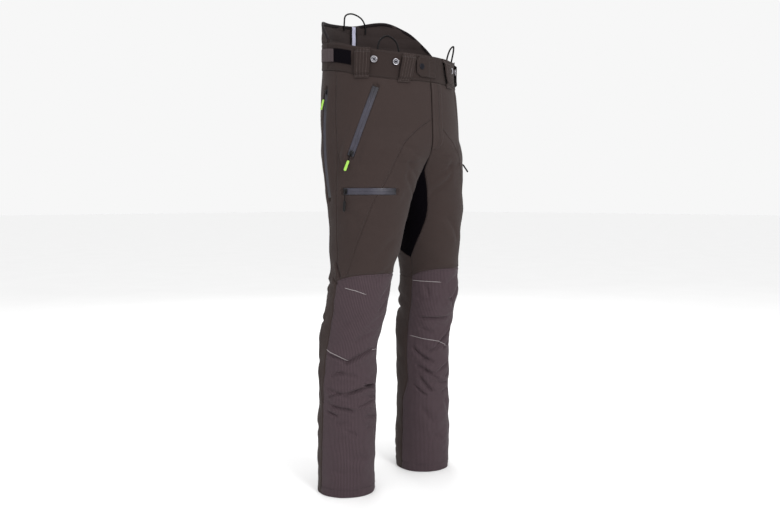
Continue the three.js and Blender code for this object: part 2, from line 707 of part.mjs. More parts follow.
const tabRoot = -85;
const tabTip = -104;
const tabLow = FRONT_RIM - TAB_HEIGHT - 3;
const snapAngle = -99.5;
const snapHeight = tabLow + TAB_HEIGHT / 2;
const STUD_THICKNESS = 1;
const tabSeat = (angle) => {
  const overStud = Math.min(1, Math.max(0, (-91 - angle) / 2));
  return BAND_PROUD + SEAM_GAP + overStud * (STUD_THICKNESS + SEAM_GAP);
};
const tabChamfer = (angle) => Math.max(0, (angle - (tabTip + 3.2)) < 0 ? (tabTip + 3.2 - angle) * 3 : 0);
const tab = add('waist_tab', waistPiece({
  from: tabTip,
  to: tabRoot,
  bottom: (angle) => tabLow + tabChamfer(angle),
  top: (angle) => tabLow + TAB_HEIGHT - tabChamfer(angle),
  columns: 12,
  rows: 2,
  outer: (angle) => tabSeat(angle) + TAB_CLOTH,
  inner: tabSeat,
}), SHELL);
tab.userData = { centre: waistPoint(1, tabRoot, snapHeight, tabSeat(tabRoot) + TAB_CLOTH) };

function placeOnWaist(piece, side, angle, height, offset) {
  const normal = surfaceNormal(waistPoint, side, angle, height);
  piece.quaternion.setFromUnitVectors(UP, normal);
  piece.position.copy(waistPoint(side, angle, height, 0)).addScaledVector(normal, offset);
}

function disc(radius, thickness, segments = 12) {
  return new THREE.LatheGeometry([
    new THREE.Vector2(0, 0), new THREE.Vector2(radius, 0), new THREE.Vector2(radius, thickness * 0.6),
    new THREE.Vector2(radius * 0.85, thickness), new THREE.Vector2(0, thickness),
  ], segments).rotateX(Math.PI / 2);
}
placeOnWaist(add('snap_cap', disc(SNAP_RADIUS, 1.8), MOULDED), 1, snapAngle, snapHeight, tabSeat(snapAngle) + TAB_CLOTH + SEAM_GAP);
placeOnWaist(add('snap_stud', disc(5.5, STUD_THICKNESS - 0.1), STEEL), 1, snapAngle, snapHeight, BAND_PROUD + 0.25);

// Each loop's angle, and how far its foot leans outwards from its head, in degrees.
const LOOP_PLACES = [['front', -67.5, 5], ['hip', -31, 1], ['back', 66, 0]];
const BUTTON_PLACES = [['outer', -41], ['inner', -58.5], ['back', 78]];
for (const [word, side] of SIDES) {
  for (const [place, angle, slant] of LOOP_PLACES) {
    const [, , halfWidth, halfDepth] = section(FRONT_RIM);
    const reach = Math.hypot(halfWidth * Math.sin(angle * DEG), halfDepth * Math.cos(angle * DEG));
    const halfAngle = LOOP_WIDTH / 2 / reach / DEG;
    const low = bandLower(angle) - 7;
    const high = bandUpper(angle) - 0.5;
    const rise = [
      [0, 0], [LOOP_FOOT, 0], [LOOP_FOOT + 4, LOOP_STANDOFF],
      [high - low - LOOP_FOOT - 4, LOOP_STANDOFF], [high - low - LOOP_FOOT, 0], [high - low, 0],
    ];
    add(`belt_loop_${place}_${word}`, slab(3, rise.length - 1, (u, v) => {
      const [above, standoff] = rise[Math.round(v * (rise.length - 1))];
      const at = angle + halfAngle * (2 * u - 1) + slant * (0.5 - above / (high - low));
      const seat = BAND_PROUD + LAY_GAP + standoff;
      return {
        outer: waistPoint(side, at, low + above, seat + LOOP_CLOTH),
        inner: waistPoint(side, at, low + above, seat),
      };
    }), SHELL);
  }
  for (const [place, angle] of BUTTON_PLACES) {
    const height = (bandLower(angle) + bandUpper(angle)) / 2 + 8;
    const button = add(`brace_button_${place}_${word}`, new THREE.LatheGeometry([
      new THREE.Vector2(0, 0), new THREE.Vector2(4, 0), new THREE.Vector2(2.6, 1.4),
      new THREE.Vector2(BRACE_BUTTON_RADIUS, 2), new THREE.Vector2(BRACE_BUTTON_RADIUS, 3.2),
      new THREE.Vector2(BRACE_BUTTON_RADIUS - 1, 4), new THREE.Vector2(BRACE_BUTTON_RADIUS - 2.5, 3.4),
      new THREE.Vector2(0, 3.4),
    ], 12).rotateX(Math.PI / 2), STEEL);
    placeOnWaist(button, side, angle, height, BAND_PROUD + SEAM_GAP);
  }

  const adjusterLow = (angle) => (bandLower(angle) + bandUpper(angle) - STRAP_WIDTH) / 2 + 3;
  add(`adjuster_loop_patch_${word}`, waistPiece({
    side,
    from: -21,
    to: 2,
    bottom: (angle) => adjusterLow(angle) - 1,
    top: (angle) => adjusterLow(angle) + STRAP_WIDTH + 1,
    columns: 4,
    rows: 1,
    outer: flat(BAND_PROUD + LAY_GAP + PATCH_CLOTH),
    inner: flat(BAND_PROUD + LAY_GAP),
  }), ELASTIC);
  const strapSeat = (angle) => BAND_PROUD + LAY_GAP
    + (PATCH_CLOTH + SEAM_GAP) * Math.min(1, Math.max(0, (6 - angle) / 3));
  const strap = add(`adjuster_strap_${word}`, waistPiece({
    side,
    from: -2,
    to: 26,
    bottom: adjusterLow,
    top: (angle) => adjusterLow(angle) + STRAP_WIDTH,
    columns: 9,
    rows: 1,
    outer: (angle) => strapSeat(angle) + STRAP_CLOTH,
    inner: strapSeat,
  }), WEBBING);
  strap.userData = { centre: waistPoint(side, 26, FRONT_RIM, strapSeat(26) + STRAP_CLOTH) };
}

// ---------- Elastic hanging loops ----------

function elasticLoop(name, side, angle, halfSpan, rim, rise, lean, inside) {
  const seat = inside - LAY_GAP - 0.4 - ELASTIC_DIAMETER / 2;
  const points = [[-1, -16, 0], [-1, 2, 0], [-0.75, rise * 0.7, lean * 0.6], [0, rise, lean],
    [0.75, rise * 0.7, lean * 0.6], [1, 2, 0], [1, -16, 0]].map(([share, above, out]) => (
    waistPoint(side, angle + halfSpan * share, rim + above, seat + out)));
  const octagon = Array.from({ length: 8 }, (_, i) => (
    new THREE.Vector2(ELASTIC_DIAMETER / 2, 0).rotateAround(new THREE.Vector2(), i * Math.PI / 4)));
  add(name, new THREE.ExtrudeGeometry(new THREE.Shape(octagon), {
    steps: 24, bevelEnabled: false, extrudePath: new THREE.CatmullRomCurve3(points),
  }), ELASTIC);
}
elasticLoop('elastic_loop_back', 1, 90, 12, guardTop(90), 32, 6, BAND_PROUD - GUARD_THICKNESS);
for (const [word, side, lean] of [['right', -1, -16], ['left', 1, 9]]) {
  elasticLoop(`elastic_loop_front_${word}`, side, -53, 9, bandUpper(-53), 38, lean, BAND_PROUD - BAND_THICKNESS);
}

export default trousers;
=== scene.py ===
# %% [markdown]
# # Chainsaw trousers
#
# Forestry trousers stand on their hems as if someone were wearing them. They are sewn from
# shaped cloth panels over cut-stopping pads, with a padded guard at the back, coated zips,
# wide belt loops and brace buttons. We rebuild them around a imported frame: every panel takes
# its outline and size from the same few numbers that the frame was made with.

# %% Load the frame
import math

import bpy
import numpy as np
from mathutils import Matrix, Vector


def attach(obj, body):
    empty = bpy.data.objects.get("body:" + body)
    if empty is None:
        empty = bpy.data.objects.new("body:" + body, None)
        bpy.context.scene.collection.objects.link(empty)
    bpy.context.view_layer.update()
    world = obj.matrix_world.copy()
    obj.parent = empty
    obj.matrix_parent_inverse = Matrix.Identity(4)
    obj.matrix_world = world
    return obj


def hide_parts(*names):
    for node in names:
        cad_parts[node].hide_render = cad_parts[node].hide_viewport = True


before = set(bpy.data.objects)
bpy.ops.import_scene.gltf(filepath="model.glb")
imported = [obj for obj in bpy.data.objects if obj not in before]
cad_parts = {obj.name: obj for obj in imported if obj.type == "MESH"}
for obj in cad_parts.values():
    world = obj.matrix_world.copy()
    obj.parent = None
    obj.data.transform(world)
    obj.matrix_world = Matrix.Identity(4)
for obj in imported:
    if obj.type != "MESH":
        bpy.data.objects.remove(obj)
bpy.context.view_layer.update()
BODY = "trousers"
MM = 0.001
print("frame nodes:", len(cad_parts))

# %% [markdown]
# ## Camera
# The camera stands a little over two metres from the wearer's right front, at thigh height.
# It looks down by less than three degrees, so that upright seams stay nearly upright, and a
# slight shift brings the hems into the frame.

# %% Camera
CAMERA_DISTANCE = 2.075
CAMERA_HEIGHT = 0.696
CAMERA_TILT = 2.73
camera_data = bpy.data.cameras.new("camera")
camera_data.lens = 38.4
camera_data.sensor_width = 36.0
camera_data.shift_y = -0.025
camera = bpy.data.objects.new("camera", camera_data)
bpy.context.scene.collection.objects.link(camera)
spread = CAMERA_DISTANCE / math.sqrt(2)
camera.location = (-spread, -spread, CAMERA_HEIGHT)
camera.rotation_euler = (math.radians(90 - CAMERA_TILT), 0, math.radians(-45))
bpy.context.scene.camera = camera

# %% [markdown]
# ## The garment as one smooth surface
# Below the crotch each leg is a tube, and above it the two halves meet on the mid-plane. Both
# are the same idea: at each height a half is an ellipse, cut off where it would cross the
# middle. Five curves along the height give its centre and radii. A monotone cubic never
# overshoots between its rows, so the legs have no bulges that nobody asked for.

# %% Sizes
INSIDE_LEG = 0.765
KNEE_SEAM_HEIGHT = 0.527
RISE = 0.271
WAIST_WIDTH = 0.368
WAIST_DEPTH = 0.270
HIP_WIDTH = 0.392
HIP_DEPTH = 0.274
THIGH_WIDTH = 0.190
LOW_THIGH_WIDTH = 0.172
KNEE_WIDTH = 0.150
SHIN_WIDTH = 0.141
HEM_WIDTH = 0.140
STANCE = 0.270
FRONT_RIM = INSIDE_LEG + RISE
SEAM_GAP = 0.4 * MM
CLOTH = 1.4 * MM
# A piece's own map is in metres. Angles count along a circle of one of these radii.
LEG_RADIUS = 0.085
WAIST_RADIUS = 0.16


def curve(*rows):
    """A monotone cubic through rows of (position, value, value, ...), for arrays."""
    table = np.array(rows, float)
    at, values = table[:, 0], table[:, 1:]
    span = np.diff(at)[:, None]
    rise = np.diff(values, axis=0) / span
    slope = np.zeros_like(values)
    slope[0], slope[-1] = rise[0], rise[-1]
    before, after = span[:-1], span[1:]
    with np.errstate(divide="ignore", invalid="ignore"):
        joined = 3 * (before + after) / ((2 * after + before) / rise[:-1] + (after + 2 * before) / rise[1:])
    slope[1:-1] = np.where(rise[:-1] * rise[1:] > 0, joined, 0)

    def read(position):
        position = np.asarray(position, float)
        i = np.clip(np.searchsorted(at, position) - 1, 0, len(at) - 2)
        t = np.clip((position - at[i]) / span[i, 0], 0, 1)[..., None]
        width = span[i]
        result = ((2 * t**3 - 3 * t**2 + 1) * values[i] + (t**3 - 2 * t**2 + t) * width * slope[i]
                  + (3 * t**2 - 2 * t**3) * values[i + 1] + (t**3 - t**2) * width * slope[i + 1])
        return result[..., 0] if values.shape[1] == 1 else np.moveaxis(result, -1, 0)

    return read


def on_shin(share):
    return share * KNEE_SEAM_HEIGHT


def on_thigh(share):
    return KNEE_SEAM_HEIGHT + share * (INSIDE_LEG - KNEE_SEAM_HEIGHT)


def on_seat(share):
    return INSIDE_LEG + share * RISE


def hip_centre(half_width):
    return HIP_WIDTH / 2 - half_width


THIGH_TOP = (HIP_WIDTH - THIGH_WIDTH) / 2 + 5 * MM
# height, centre x, centre y, half width, half depth
section = curve(
    (0, STANCE / 2, 0.0146, HEM_WIDTH / 2, HEM_WIDTH / 2),
    (on_shin(0.13), STANCE / 2, 0.0146, HEM_WIDTH / 2, HEM_WIDTH / 2),
    (on_shin(0.32), STANCE / 2 - 0.001, 0.012, HEM_WIDTH / 2 - 0.001, HEM_WIDTH / 2 - 0.001),
    (on_shin(0.645), STANCE / 2 - 0.003, 0.011, SHIN_WIDTH / 2, SHIN_WIDTH / 2),
    (on_shin(0.865), STANCE / 2 - 0.010, -0.015, KNEE_WIDTH / 2, KNEE_WIDTH / 2),
    (on_shin(1.01), STANCE / 2 - 0.017, -0.023, KNEE_WIDTH / 2 + 0.0015, KNEE_WIDTH / 2 + 0.0015),
    (on_thigh(0.31), hip_centre(LOW_THIGH_WIDTH / 2) - 0.0025, -0.0255,
     LOW_THIGH_WIDTH / 2, LOW_THIGH_WIDTH / 2),
    (on_thigh(0.59), hip_centre(THIGH_WIDTH / 2) - 0.001, -0.0265, THIGH_WIDTH / 2, THIGH_WIDTH / 2),
    (on_thigh(0.81), hip_centre(THIGH_TOP), -0.022, THIGH_TOP, THIGH_WIDTH / 2 + 0.010),
    (on_seat(0.037), HIP_WIDTH / 2 - 0.124, -0.016, 0.124, HIP_DEPTH / 2 - 0.017),
    (on_seat(0.203), 0.040, -0.011, HIP_WIDTH / 2 - 0.038, HIP_DEPTH / 2 - 0.004),
    (on_seat(0.387), 0, -0.005, HIP_WIDTH / 2, HIP_DEPTH / 2),
    (on_seat(0.646), 0, 0, (HIP_WIDTH + WAIST_WIDTH) / 4, HIP_DEPTH / 2 + 0.002),
    (on_seat(0.889), 0, 0.002, WAIST_WIDTH / 2, WAIST_DEPTH / 2),
    (on_seat(1.55), 0, 0.002, WAIST_WIDTH / 2, WAIST_DEPTH / 2),
)
SIDES = (("right", -1), ("left", 1))

# %% [markdown]
# ## Folds
# Worn cloth isn't smooth: it breaks behind and below the knee, pulls in lines from the crotch
# and crumples a little over the shoe. A cloth simulation of the whole garment would need a
# body inside it and would move every seam, so the folds are given in a table instead. Each
# fold is a crease between two points of the surface, with a soft ridge on either side. Slow
# waves and a short pucker along the seams fill in the rest.

# %% Folds, waves and puckers
# side, start (angle, height), end (angle, height), width, depth
RIGHT, LEFT, BOTH = (-1,), (1,), (-1, 1)
FOLDS = [
    (RIGHT, (-34, 0.318), (-108, 0.350), 6.0, 5.6),
    (RIGHT, (-4, 0.343), (-52, 0.318), 5.0, 3.4),
    (RIGHT, (-36, 0.248), (-122, 0.262), 5.0, 6.4),
    (RIGHT, (-78, 0.268), (-122, 0.252), 4.0, 5.0),
    (RIGHT, (-2, 0.262), (-58, 0.232), 7.0, 3.6),
    (RIGHT, (-10, 0.222), (-66, 0.200), 5.0, 4.6),
    (RIGHT, (-64, 0.214), (-118, 0.226), 4.0, 3.2),
    (RIGHT, (-84, 0.196), (-125, 0.176), 6.0, 3.4),
    (RIGHT, (-90, 0.170), (-122, 0.150), 8.0, 2.6),
    (RIGHT, (-8, 0.290), (-44, 0.296), 6.0, 3.0),
    (RIGHT, (-26, 0.300), (-70, 0.282), 7.0, 2.8),
    (RIGHT, (-50, 0.372), (-104, 0.392), 10.0, 2.4),
    (RIGHT, (-20, 0.410), (-66, 0.424), 13.0, 2.0),
    (RIGHT, (-88, 0.440), (-124, 0.466), 7.0, 3.2),
    (RIGHT, (-22, 0.180), (-58, 0.168), 9.0, 2.4),
    (RIGHT, (-56, 0.100), (-96, 0.082), 12.0, 2.2),
    (RIGHT, (-18, 0.070), (-48, 0.050), 10.0, 1.8),
    (RIGHT, (4, 0.560), (-8, 0.512), 4.5, 3.2),
    (RIGHT, (14, 0.520), (-4, 0.500), 4.5, 2.6),
    (RIGHT, (-60, 0.505), (-110, 0.545), 10.0, 2.2),
    (RIGHT, (-85, 0.470), (-130, 0.505), 9.0, 2.4),
    (RIGHT, (-60, 0.395), (-115, 0.430), 12.0, 1.8),
    (RIGHT, (-12, 0.118), (-50, 0.150), 14.0, 1.4),
    (RIGHT, (-66, 0.120), (-58, 0.040), 12.0, 1.2),
    (RIGHT, (-6, 0.238), (-38, 0.246), 4.0, 3.6),
    (RIGHT, (-4, 0.206), (-30, 0.190), 4.0, 3.2),
    (RIGHT, (-92, 0.240), (-124, 0.226), 4.0, 3.4),
    (RIGHT, (-40, 0.168), (-72, 0.140), 6.0, 2.4),
    (LEFT, (-158, 0.398), (-76, 0.400), 5.0, 4.4),
    (LEFT, (-112, 0.318), (-56, 0.378), 5.0, 6.2),
    (LEFT, (-92, 0.312), (-54, 0.346), 4.0, 4.0),
    (LEFT, (-128, 0.306), (-86, 0.334), 5.5, 3.6),
    (LEFT, (-165, 0.322), (-122, 0.286), 6.0, 4.2),
    (LEFT, (-140, 0.296), (-108, 0.282), 6.0, 3.2),
    (LEFT, (-158, 0.276), (-100, 0.250), 6.0, 3.8),
    (LEFT, (-108, 0.252), (-58, 0.286), 5.0, 3.8),
    (LEFT, (-150, 0.250), (-112, 0.204), 5.0, 4.2),
    (LEFT, (-122, 0.234), (-70, 0.226), 6.0, 3.0),
    (LEFT, (-82, 0.236), (-56, 0.258), 5.0, 3.2),
    (LEFT, (-60, 0.424), (-98, 0.452), 7.0, 3.6),
    (LEFT, (-60, 0.488), (-88, 0.438), 7.0, 3.0),
    (LEFT, (-66, 0.520), (-104, 0.476), 11.0, 2.4),
    (LEFT, (-160, 0.440), (-112, 0.452), 10.0, 2.4),
    (LEFT, (-150, 0.370), (-112, 0.362), 8.0, 2.6),
    (LEFT, (-150, 0.170), (-104, 0.120), 12.0, 2.4),
    (LEFT, (-88, 0.180), (-62, 0.150), 11.0, 2.2),
    (LEFT, (-120, 0.090), (-76, 0.070), 12.0, 2.0),
    (LEFT, (-70, 0.118), (-55, 0.060), 12.0, 1.2),
    (LEFT, (-130, 0.455), (-150, 0.490), 8.0, 2.0),
    (LEFT, (-138, 0.266), (-96, 0.236), 4.0, 3.6),
    (LEFT, (-160, 0.226), (-126, 0.196), 4.0, 3.2),
    (LEFT, (-96, 0.200), (-62, 0.214), 5.0, 2.8),
    (BOTH, (-100, 0.800), (-58, 0.835), 9.0, 1.8),
    (BOTH, (-104, 0.775), (-66, 0.790), 8.0, 1.6),
    (BOTH, (-128, 0.700), (-84, 0.768), 9.0, 2.6),
    (BOTH, (-120, 0.740), (-80, 0.792), 7.0, 2.2),
    (BOTH, (-60, 0.800), (-30, 0.770), 15.0, 1.6),
    (RIGHT, (-58, 0.560), (-100, 0.610), 14.0, 1.8),
    (LEFT, (-66, 0.600), (-110, 0.660), 12.0, 2.2),
    (BOTH, (-12, 0.690), (-34, 0.640), 13.0, 1.4),
    (BOTH, (30, 0.470), (150, 0.452), 9.0, 4.6),
    (BOTH, (20, 0.500), (110, 0.492), 7.0, 3.2),
    (BOTH, (60, 0.428), (165, 0.420), 8.0, 3.4),
    (BOTH, (24, 0.402), (90, 0.420), 7.0, 2.6),
    (BOTH, (45, 0.545), (140, 0.560), 10.0, 2.6),
    (BOTH, (92, 0.765), (40, 0.740), 10.0, 3.0),
    (BOTH, (96, 0.725), (50, 0.690), 10.0, 2.4),
    (BOTH, (100, 0.800), (60, 0.815), 9.0, 2.0),
    (BOTH, (40, 0.090), (130, 0.105), 10.0, 2.4),
    (BOTH, (60, 0.055), (150, 0.048), 8.0, 2.0),
    (BOTH, (25, 0.150), (85, 0.140), 10.0, 2.0),
    (BOTH, (30, 0.300), (80, 0.330), 10.0, 1.6),
    (BOTH, (55, 0.950), (84, 0.935), 8.0, 1.4),
]


def ease(value):
    value = np.clip(value, 0, 1)
    return value * value * (3 - 2 * value)


def turned(angle, middle):
    """Angle less middle, taken the short way round, in degrees."""
    return (angle - middle + 180) % 360 - 180


def unrolled(angle, height, middle_angle, middle_height):
    """Metres round and up the surface from a point on it."""
    radius = section(height)[2]
    return np.radians(turned(angle, middle_angle)) * radius, height - middle_height


FOLD_STRENGTH = 1.2


def fold_relief(side, angle, height):
    relief = np.zeros(np.broadcast(angle, height).shape)
    for sides, start, end, width, depth in FOLDS:
        if side not in sides:
            continue
        middle = (start[0] + end[0]) / 2, (start[1] + end[1]) / 2
        radius = float(section(middle[1])[2])
        run = math.radians(end[0] - start[0]) * radius, end[1] - start[1]
        half = math.hypot(*run) / 2
        along_x, along_y = run[0] / (2 * half), run[1] / (2 * half)
        x, y = unrolled(angle, height, *middle)
        near = (np.abs(x) < half + 0.05) & (np.abs(y) < half + 0.05)
        along = (x * along_x + y * along_y) / half
        width = width * MM
        across = (y * along_x - x * along_y) + 0.35 * width * np.sin(2.4 * along) - 0.5 * width * along**2
        crease = np.exp(-(across / (0.66 * width)) ** 2)
        ridges = np.exp(-((across - 1.7 * width) / (1.25 * width)) ** 2)
        ridges = ridges + 0.7 * np.exp(-((across + 1.8 * width) / (1.4 * width)) ** 2)
        fade = ease((1 - np.abs(along)) / 0.45)
        relief = relief + np.where(near, FOLD_STRENGTH * depth * MM * fade * (0.5 * ridges - crease), 0)
    return relief


WAVE_DRAWS = np.random.default_rng(7)
WAVE_SIZES = ((0.21, 1.5), (0.15, 1.2), (0.105, 0.95), (0.073, 0.7), (0.046, 0.36), (0.031, 0.2))
WAVES = [(WAVE_DRAWS.uniform(0, 2 * math.pi, 2), WAVE_DRAWS.integers(-1, 2), 2 * math.pi / length, size)
         for length, size in WAVE_SIZES]
looseness = curve((0, 1.3), (0.05, 1.1), (0.14, 0.8), (0.30, 1.1), (0.46, 1.2), (0.60, 0.7),
                  (0.76, 0.7), (0.88, 0.4), (0.97, 0.25), (1.1, 0.2))


def wave_relief(side, angle, height):
    turn = np.radians(angle)
    total = 0
    for phases, lean, pitch, size in WAVES:
        round_count = max(1, round(0.06 * pitch))
        upward = np.sin(pitch * height + lean * turn + phases[0] + side)
        around = np.cos(round_count * turn + phases[1] + 2 * side + 1.5 * np.sin(0.5 * pitch * height))
        total = total + size * MM * upward * around
    return total * looseness(height)

# %% [markdown]
# ## Seams
# A seam is one curve: the angle round the leg for each height, or the height for each angle.
# Both panels that meet in it read the same curve, so they can't drift apart.

# %% Seam curves
GUSSET_TOP = INSIDE_LEG + 0.035
KNEE_BACK_HEIGHT = KNEE_SEAM_HEIGHT - 0.020
SIDE_PANEL_FOOT = on_shin(0.42)
DIAGONAL_TOP = on_seat(0.46)
BAND_HEIGHT = 0.061
FLY_LENGTH = 0.158
FLY_WIDTH = 0.038


def mid_plane_angle(height):
    centre_x, _, half_width, _ = section(height)
    return np.degrees(np.arccos(np.clip(-centre_x / half_width, -1, 1)))


GUSSET_TOP_ANGLE = float(mid_plane_angle(GUSSET_TOP))
gusset_front = curve(
    (on_thigh(0.12), -172), (on_thigh(0.29), -155), (on_thigh(0.41), -145), (on_thigh(0.56), -136),
    (on_thigh(0.81), -129), (INSIDE_LEG, -126), (GUSSET_TOP, -GUSSET_TOP_ANGLE))
diagonal_seam = curve(
    (KNEE_SEAM_HEIGHT - 0.005, -21), (on_thigh(0.235), -31), (on_thigh(0.51), -44), (on_thigh(0.74), -54.5),
    (on_thigh(0.87), -63.5), (INSIDE_LEG + 0.010, -68.5), (on_seat(0.21), -70), (on_seat(0.343), -75.5),
    (DIAGONAL_TOP, -90))
side_seam = curve(
    (SIDE_PANEL_FOOT - 0.008, 9), (SIDE_PANEL_FOOT + 0.012, 8), (on_shin(0.67), -2.5), (on_shin(0.9), -0.5),
    (KNEE_SEAM_HEIGHT, 1), (on_thigh(0.4), 4), (on_thigh(0.9), -1.5),
    (on_seat(0.26), -6), (on_seat(0.87), -4))
side_back = curve(
    (SIDE_PANEL_FOOT, 13), (on_shin(0.66), 22), (KNEE_SEAM_HEIGHT, 30), (on_seat(0.9), 30))
shin_inner = curve((SIDE_PANEL_FOOT - 0.040, -186), (SIDE_PANEL_FOOT + 0.020, -172), (KNEE_SEAM_HEIGHT, -172))
band_lower = curve(
    (-90, FRONT_RIM - BAND_HEIGHT + 0.001), (-60, FRONT_RIM - BAND_HEIGHT),
    (-37, FRONT_RIM - BAND_HEIGHT + 0.005),
    (-5, FRONT_RIM - BAND_HEIGHT + 0.021), (30, FRONT_RIM - BAND_HEIGHT + 0.031),
    (90, FRONT_RIM - BAND_HEIGHT + 0.035))


def inner_front(height):
    return np.where(height > GUSSET_TOP, -mid_plane_angle(height), gusset_front(height))


def inner_back(height):
    front = -inner_front(height)
    return front + 16 * np.maximum(0, (front - 164) / 8)


def crotch_height(angle):
    angle = np.where(angle < -180, angle + 360, angle)
    share = (180 - np.abs(angle)) / (180 - GUSSET_TOP_ANGLE)
    return INSIDE_LEG + (GUSSET_TOP - INSIDE_LEG) * share**2


def knee_top(angle):
    return KNEE_SEAM_HEIGHT - 0.020 * np.abs((angle + 85) / 90) ** 3


def band_upper(angle):
    return band_lower(angle) + BAND_HEIGHT + 0.003 * np.sin(np.radians(angle + 90))


guard_top = curve(
    (6, float(band_upper(6)) + 0.004), (18, FRONT_RIM + 0.065), (38, FRONT_RIM + 0.109),
    (59, FRONT_RIM + 0.129), (90, FRONT_RIM + 0.109))
guard_top_right = curve(
    (6, float(band_upper(6)) + 0.004), (18, FRONT_RIM + 0.062), (38, FRONT_RIM + 0.092),
    (59, FRONT_RIM + 0.099), (90, FRONT_RIM + 0.109))


def mirrored(edge):
    """An edge given for one half of the waist, for angles that run on over the back."""
    return lambda angle: edge(np.where(angle > 90, 180 - angle, angle))


def guard_rim(angle):
    """The guard sits lower on the wearer's right, where the angle has passed the middle of the back."""
    angle = np.asarray(angle, float)
    return np.where(angle > 90, guard_top_right(180 - angle), guard_top(angle))


def flat(value):
    return lambda position: np.full_like(np.asarray(position, float), value)


def leg_point(side, angle, height, offset=0.0):
    centre_x, centre_y, half_width, half_depth = section(height)
    turn = np.radians(angle)
    x = np.maximum(centre_x + (half_width + offset) * np.cos(turn), SEAM_GAP / 2 - offset)
    y = centre_y + (half_depth + offset) * np.sin(turn)
    return np.stack(np.broadcast_arrays(side * x, y, height), -1)


def waist_point(side, angle, height, offset=0.0):
    _, centre_y, half_width, half_depth = section(height)
    turn = np.radians(angle)
    x = (half_width + offset) * np.cos(turn)
    y = centre_y + (half_depth + offset) * np.sin(turn)
    return np.stack(np.broadcast_arrays(side * x, y, height), -1)


def unit(vectors):
    vectors = np.asarray(vectors, float)
    return vectors / np.linalg.norm(vectors, axis=-1, keepdims=True)


def outward(point, side, angle, height):
    around = point(side, angle + 1, height) - point(side, angle - 1, height)
    along = point(side, angle, height + 2 * MM) - point(side, angle, height - 2 * MM)
    return unit(side * np.cross(around, along))


print("waist rim %.3f m, guard rim %.3f m" % (FRONT_RIM, guard_top(59)))

# %% [markdown]
# ## Zip lines
# A zip runs along the arc through three places on the cloth. Everything on it, the tape, the
# coil, the slider and its stops, is placed by turning one frame about the centre of that arc,
# so the slider can follow the tape exactly when its joint moves.

# %% Zip arcs
TAPE_PROUD = 0.5 * MM


class ZipArc:
    def __init__(self, side, start, middle, end):
        a, b, c = (leg_point(side, angle, height, TAPE_PROUD) for angle, height in (start, middle, end))
        ab, ac = b - a, c - a
        normal = np.cross(ab, ac)
        self.axis = unit(normal)
        towards_centre = np.cross(normal, ab) * (ac @ ac) + np.cross(ac, normal) * (ab @ ab)
        self.centre = a + towards_centre / (2 * normal @ normal)
        spoke_a, self.spoke = a - self.centre, b - self.centre
        self.sweep = self.turn_to(spoke_a, c - self.centre)
        self.middle_turn = self.turn_to(spoke_a, self.spoke)
        self.length = abs(self.sweep) * float(np.linalg.norm(spoke_a))
        along = unit(np.cross(self.axis, self.spoke))
        out = outward(leg_point, side, *middle)
        out = unit(out - along * (out @ along))
        self.basis = np.stack([np.cross(along, out), along, out])
        self.side = side

    def turn_to(self, spoke_a, spoke):
        return math.atan2(np.cross(spoke_a, spoke) @ self.axis, spoke_a @ spoke)

    def frame_at(self, share):
        """Origin and rows across, along and out."""
        turn = np.array(Matrix.Rotation(self.sweep * share - self.middle_turn, 3, Vector(self.axis)))
        return turn @ self.spoke + self.centre, (turn @ self.basis.T).T

    def frames(self, shares):
        pairs = [self.frame_at(share) for share in shares]
        return np.array([pair[0] for pair in pairs]), np.array([pair[1] for pair in pairs])


ZIPS = {}
for word, side in SIDES:
    ZIPS["front_pocket_" + word] = ZipArc(
        side, (-21.5, on_seat(0.122)), (-32.5, on_seat(0.413)), (-42.5, on_seat(0.705)))
    ZIPS["vent_" + word] = ZipArc(side, (9, on_seat(0.705)), (14, on_seat(0.24)), (18, on_thigh(0.74)))
ZIPS["thigh_pocket_right"] = ZipArc(-1, (-12, on_thigh(0.8)), (-46.5, on_thigh(0.8)), (-81.5, on_thigh(0.8)))
for name, arc in ZIPS.items():
    print("%-20s %.1f mm" % (name, arc.length / MM))

# %% [markdown]
# ## Cloth
# The cloth surface is the smooth body, pushed in and out by folds and waves. Near a zip it
# lies flat against the tape instead: inside the tape's width it dips under it, and beside it
# it stands up as a soft lip. Near the waistband, the fly and the middle seams it calms down.

# %% Cloth surface
def zip_settle(side, points, normals, relief):
    for arc in ZIPS.values():
        if arc.side != side:
            continue
        origins, bases = arc.frames(np.linspace(0, 1, 61))
        flat_points = points.reshape(-1, 3)
        low, high = origins.min(0) - 0.04, origins.max(0) + 0.04
        near = np.flatnonzero(np.all((flat_points > low) & (flat_points < high), axis=1))
        if not len(near):
            continue
        away = np.linalg.norm(flat_points[near][:, None] - origins[None], axis=2)
        nearest = away.argmin(1)
        distance = away.min(1)
        rise = np.einsum("ij,ij->i", flat_points[near] - origins[nearest], bases[nearest, 2])
        tilt = np.clip(np.einsum("ij,ij->i", normals.reshape(-1, 3)[near], bases[nearest, 2]), 0.6, 1)
        under = 1 - ease((distance - 7.5 * MM) / (1.3 * MM))
        wanted = (0.7 * MM - 3.1 * MM * under - rise) / tilt
        hold = 1 - ease((distance - 10 * MM) / (22 * MM))
        flat_relief = relief.reshape(-1)
        flat_relief[near] = flat_relief[near] * (1 - hold) + wanted * hold
    return relief


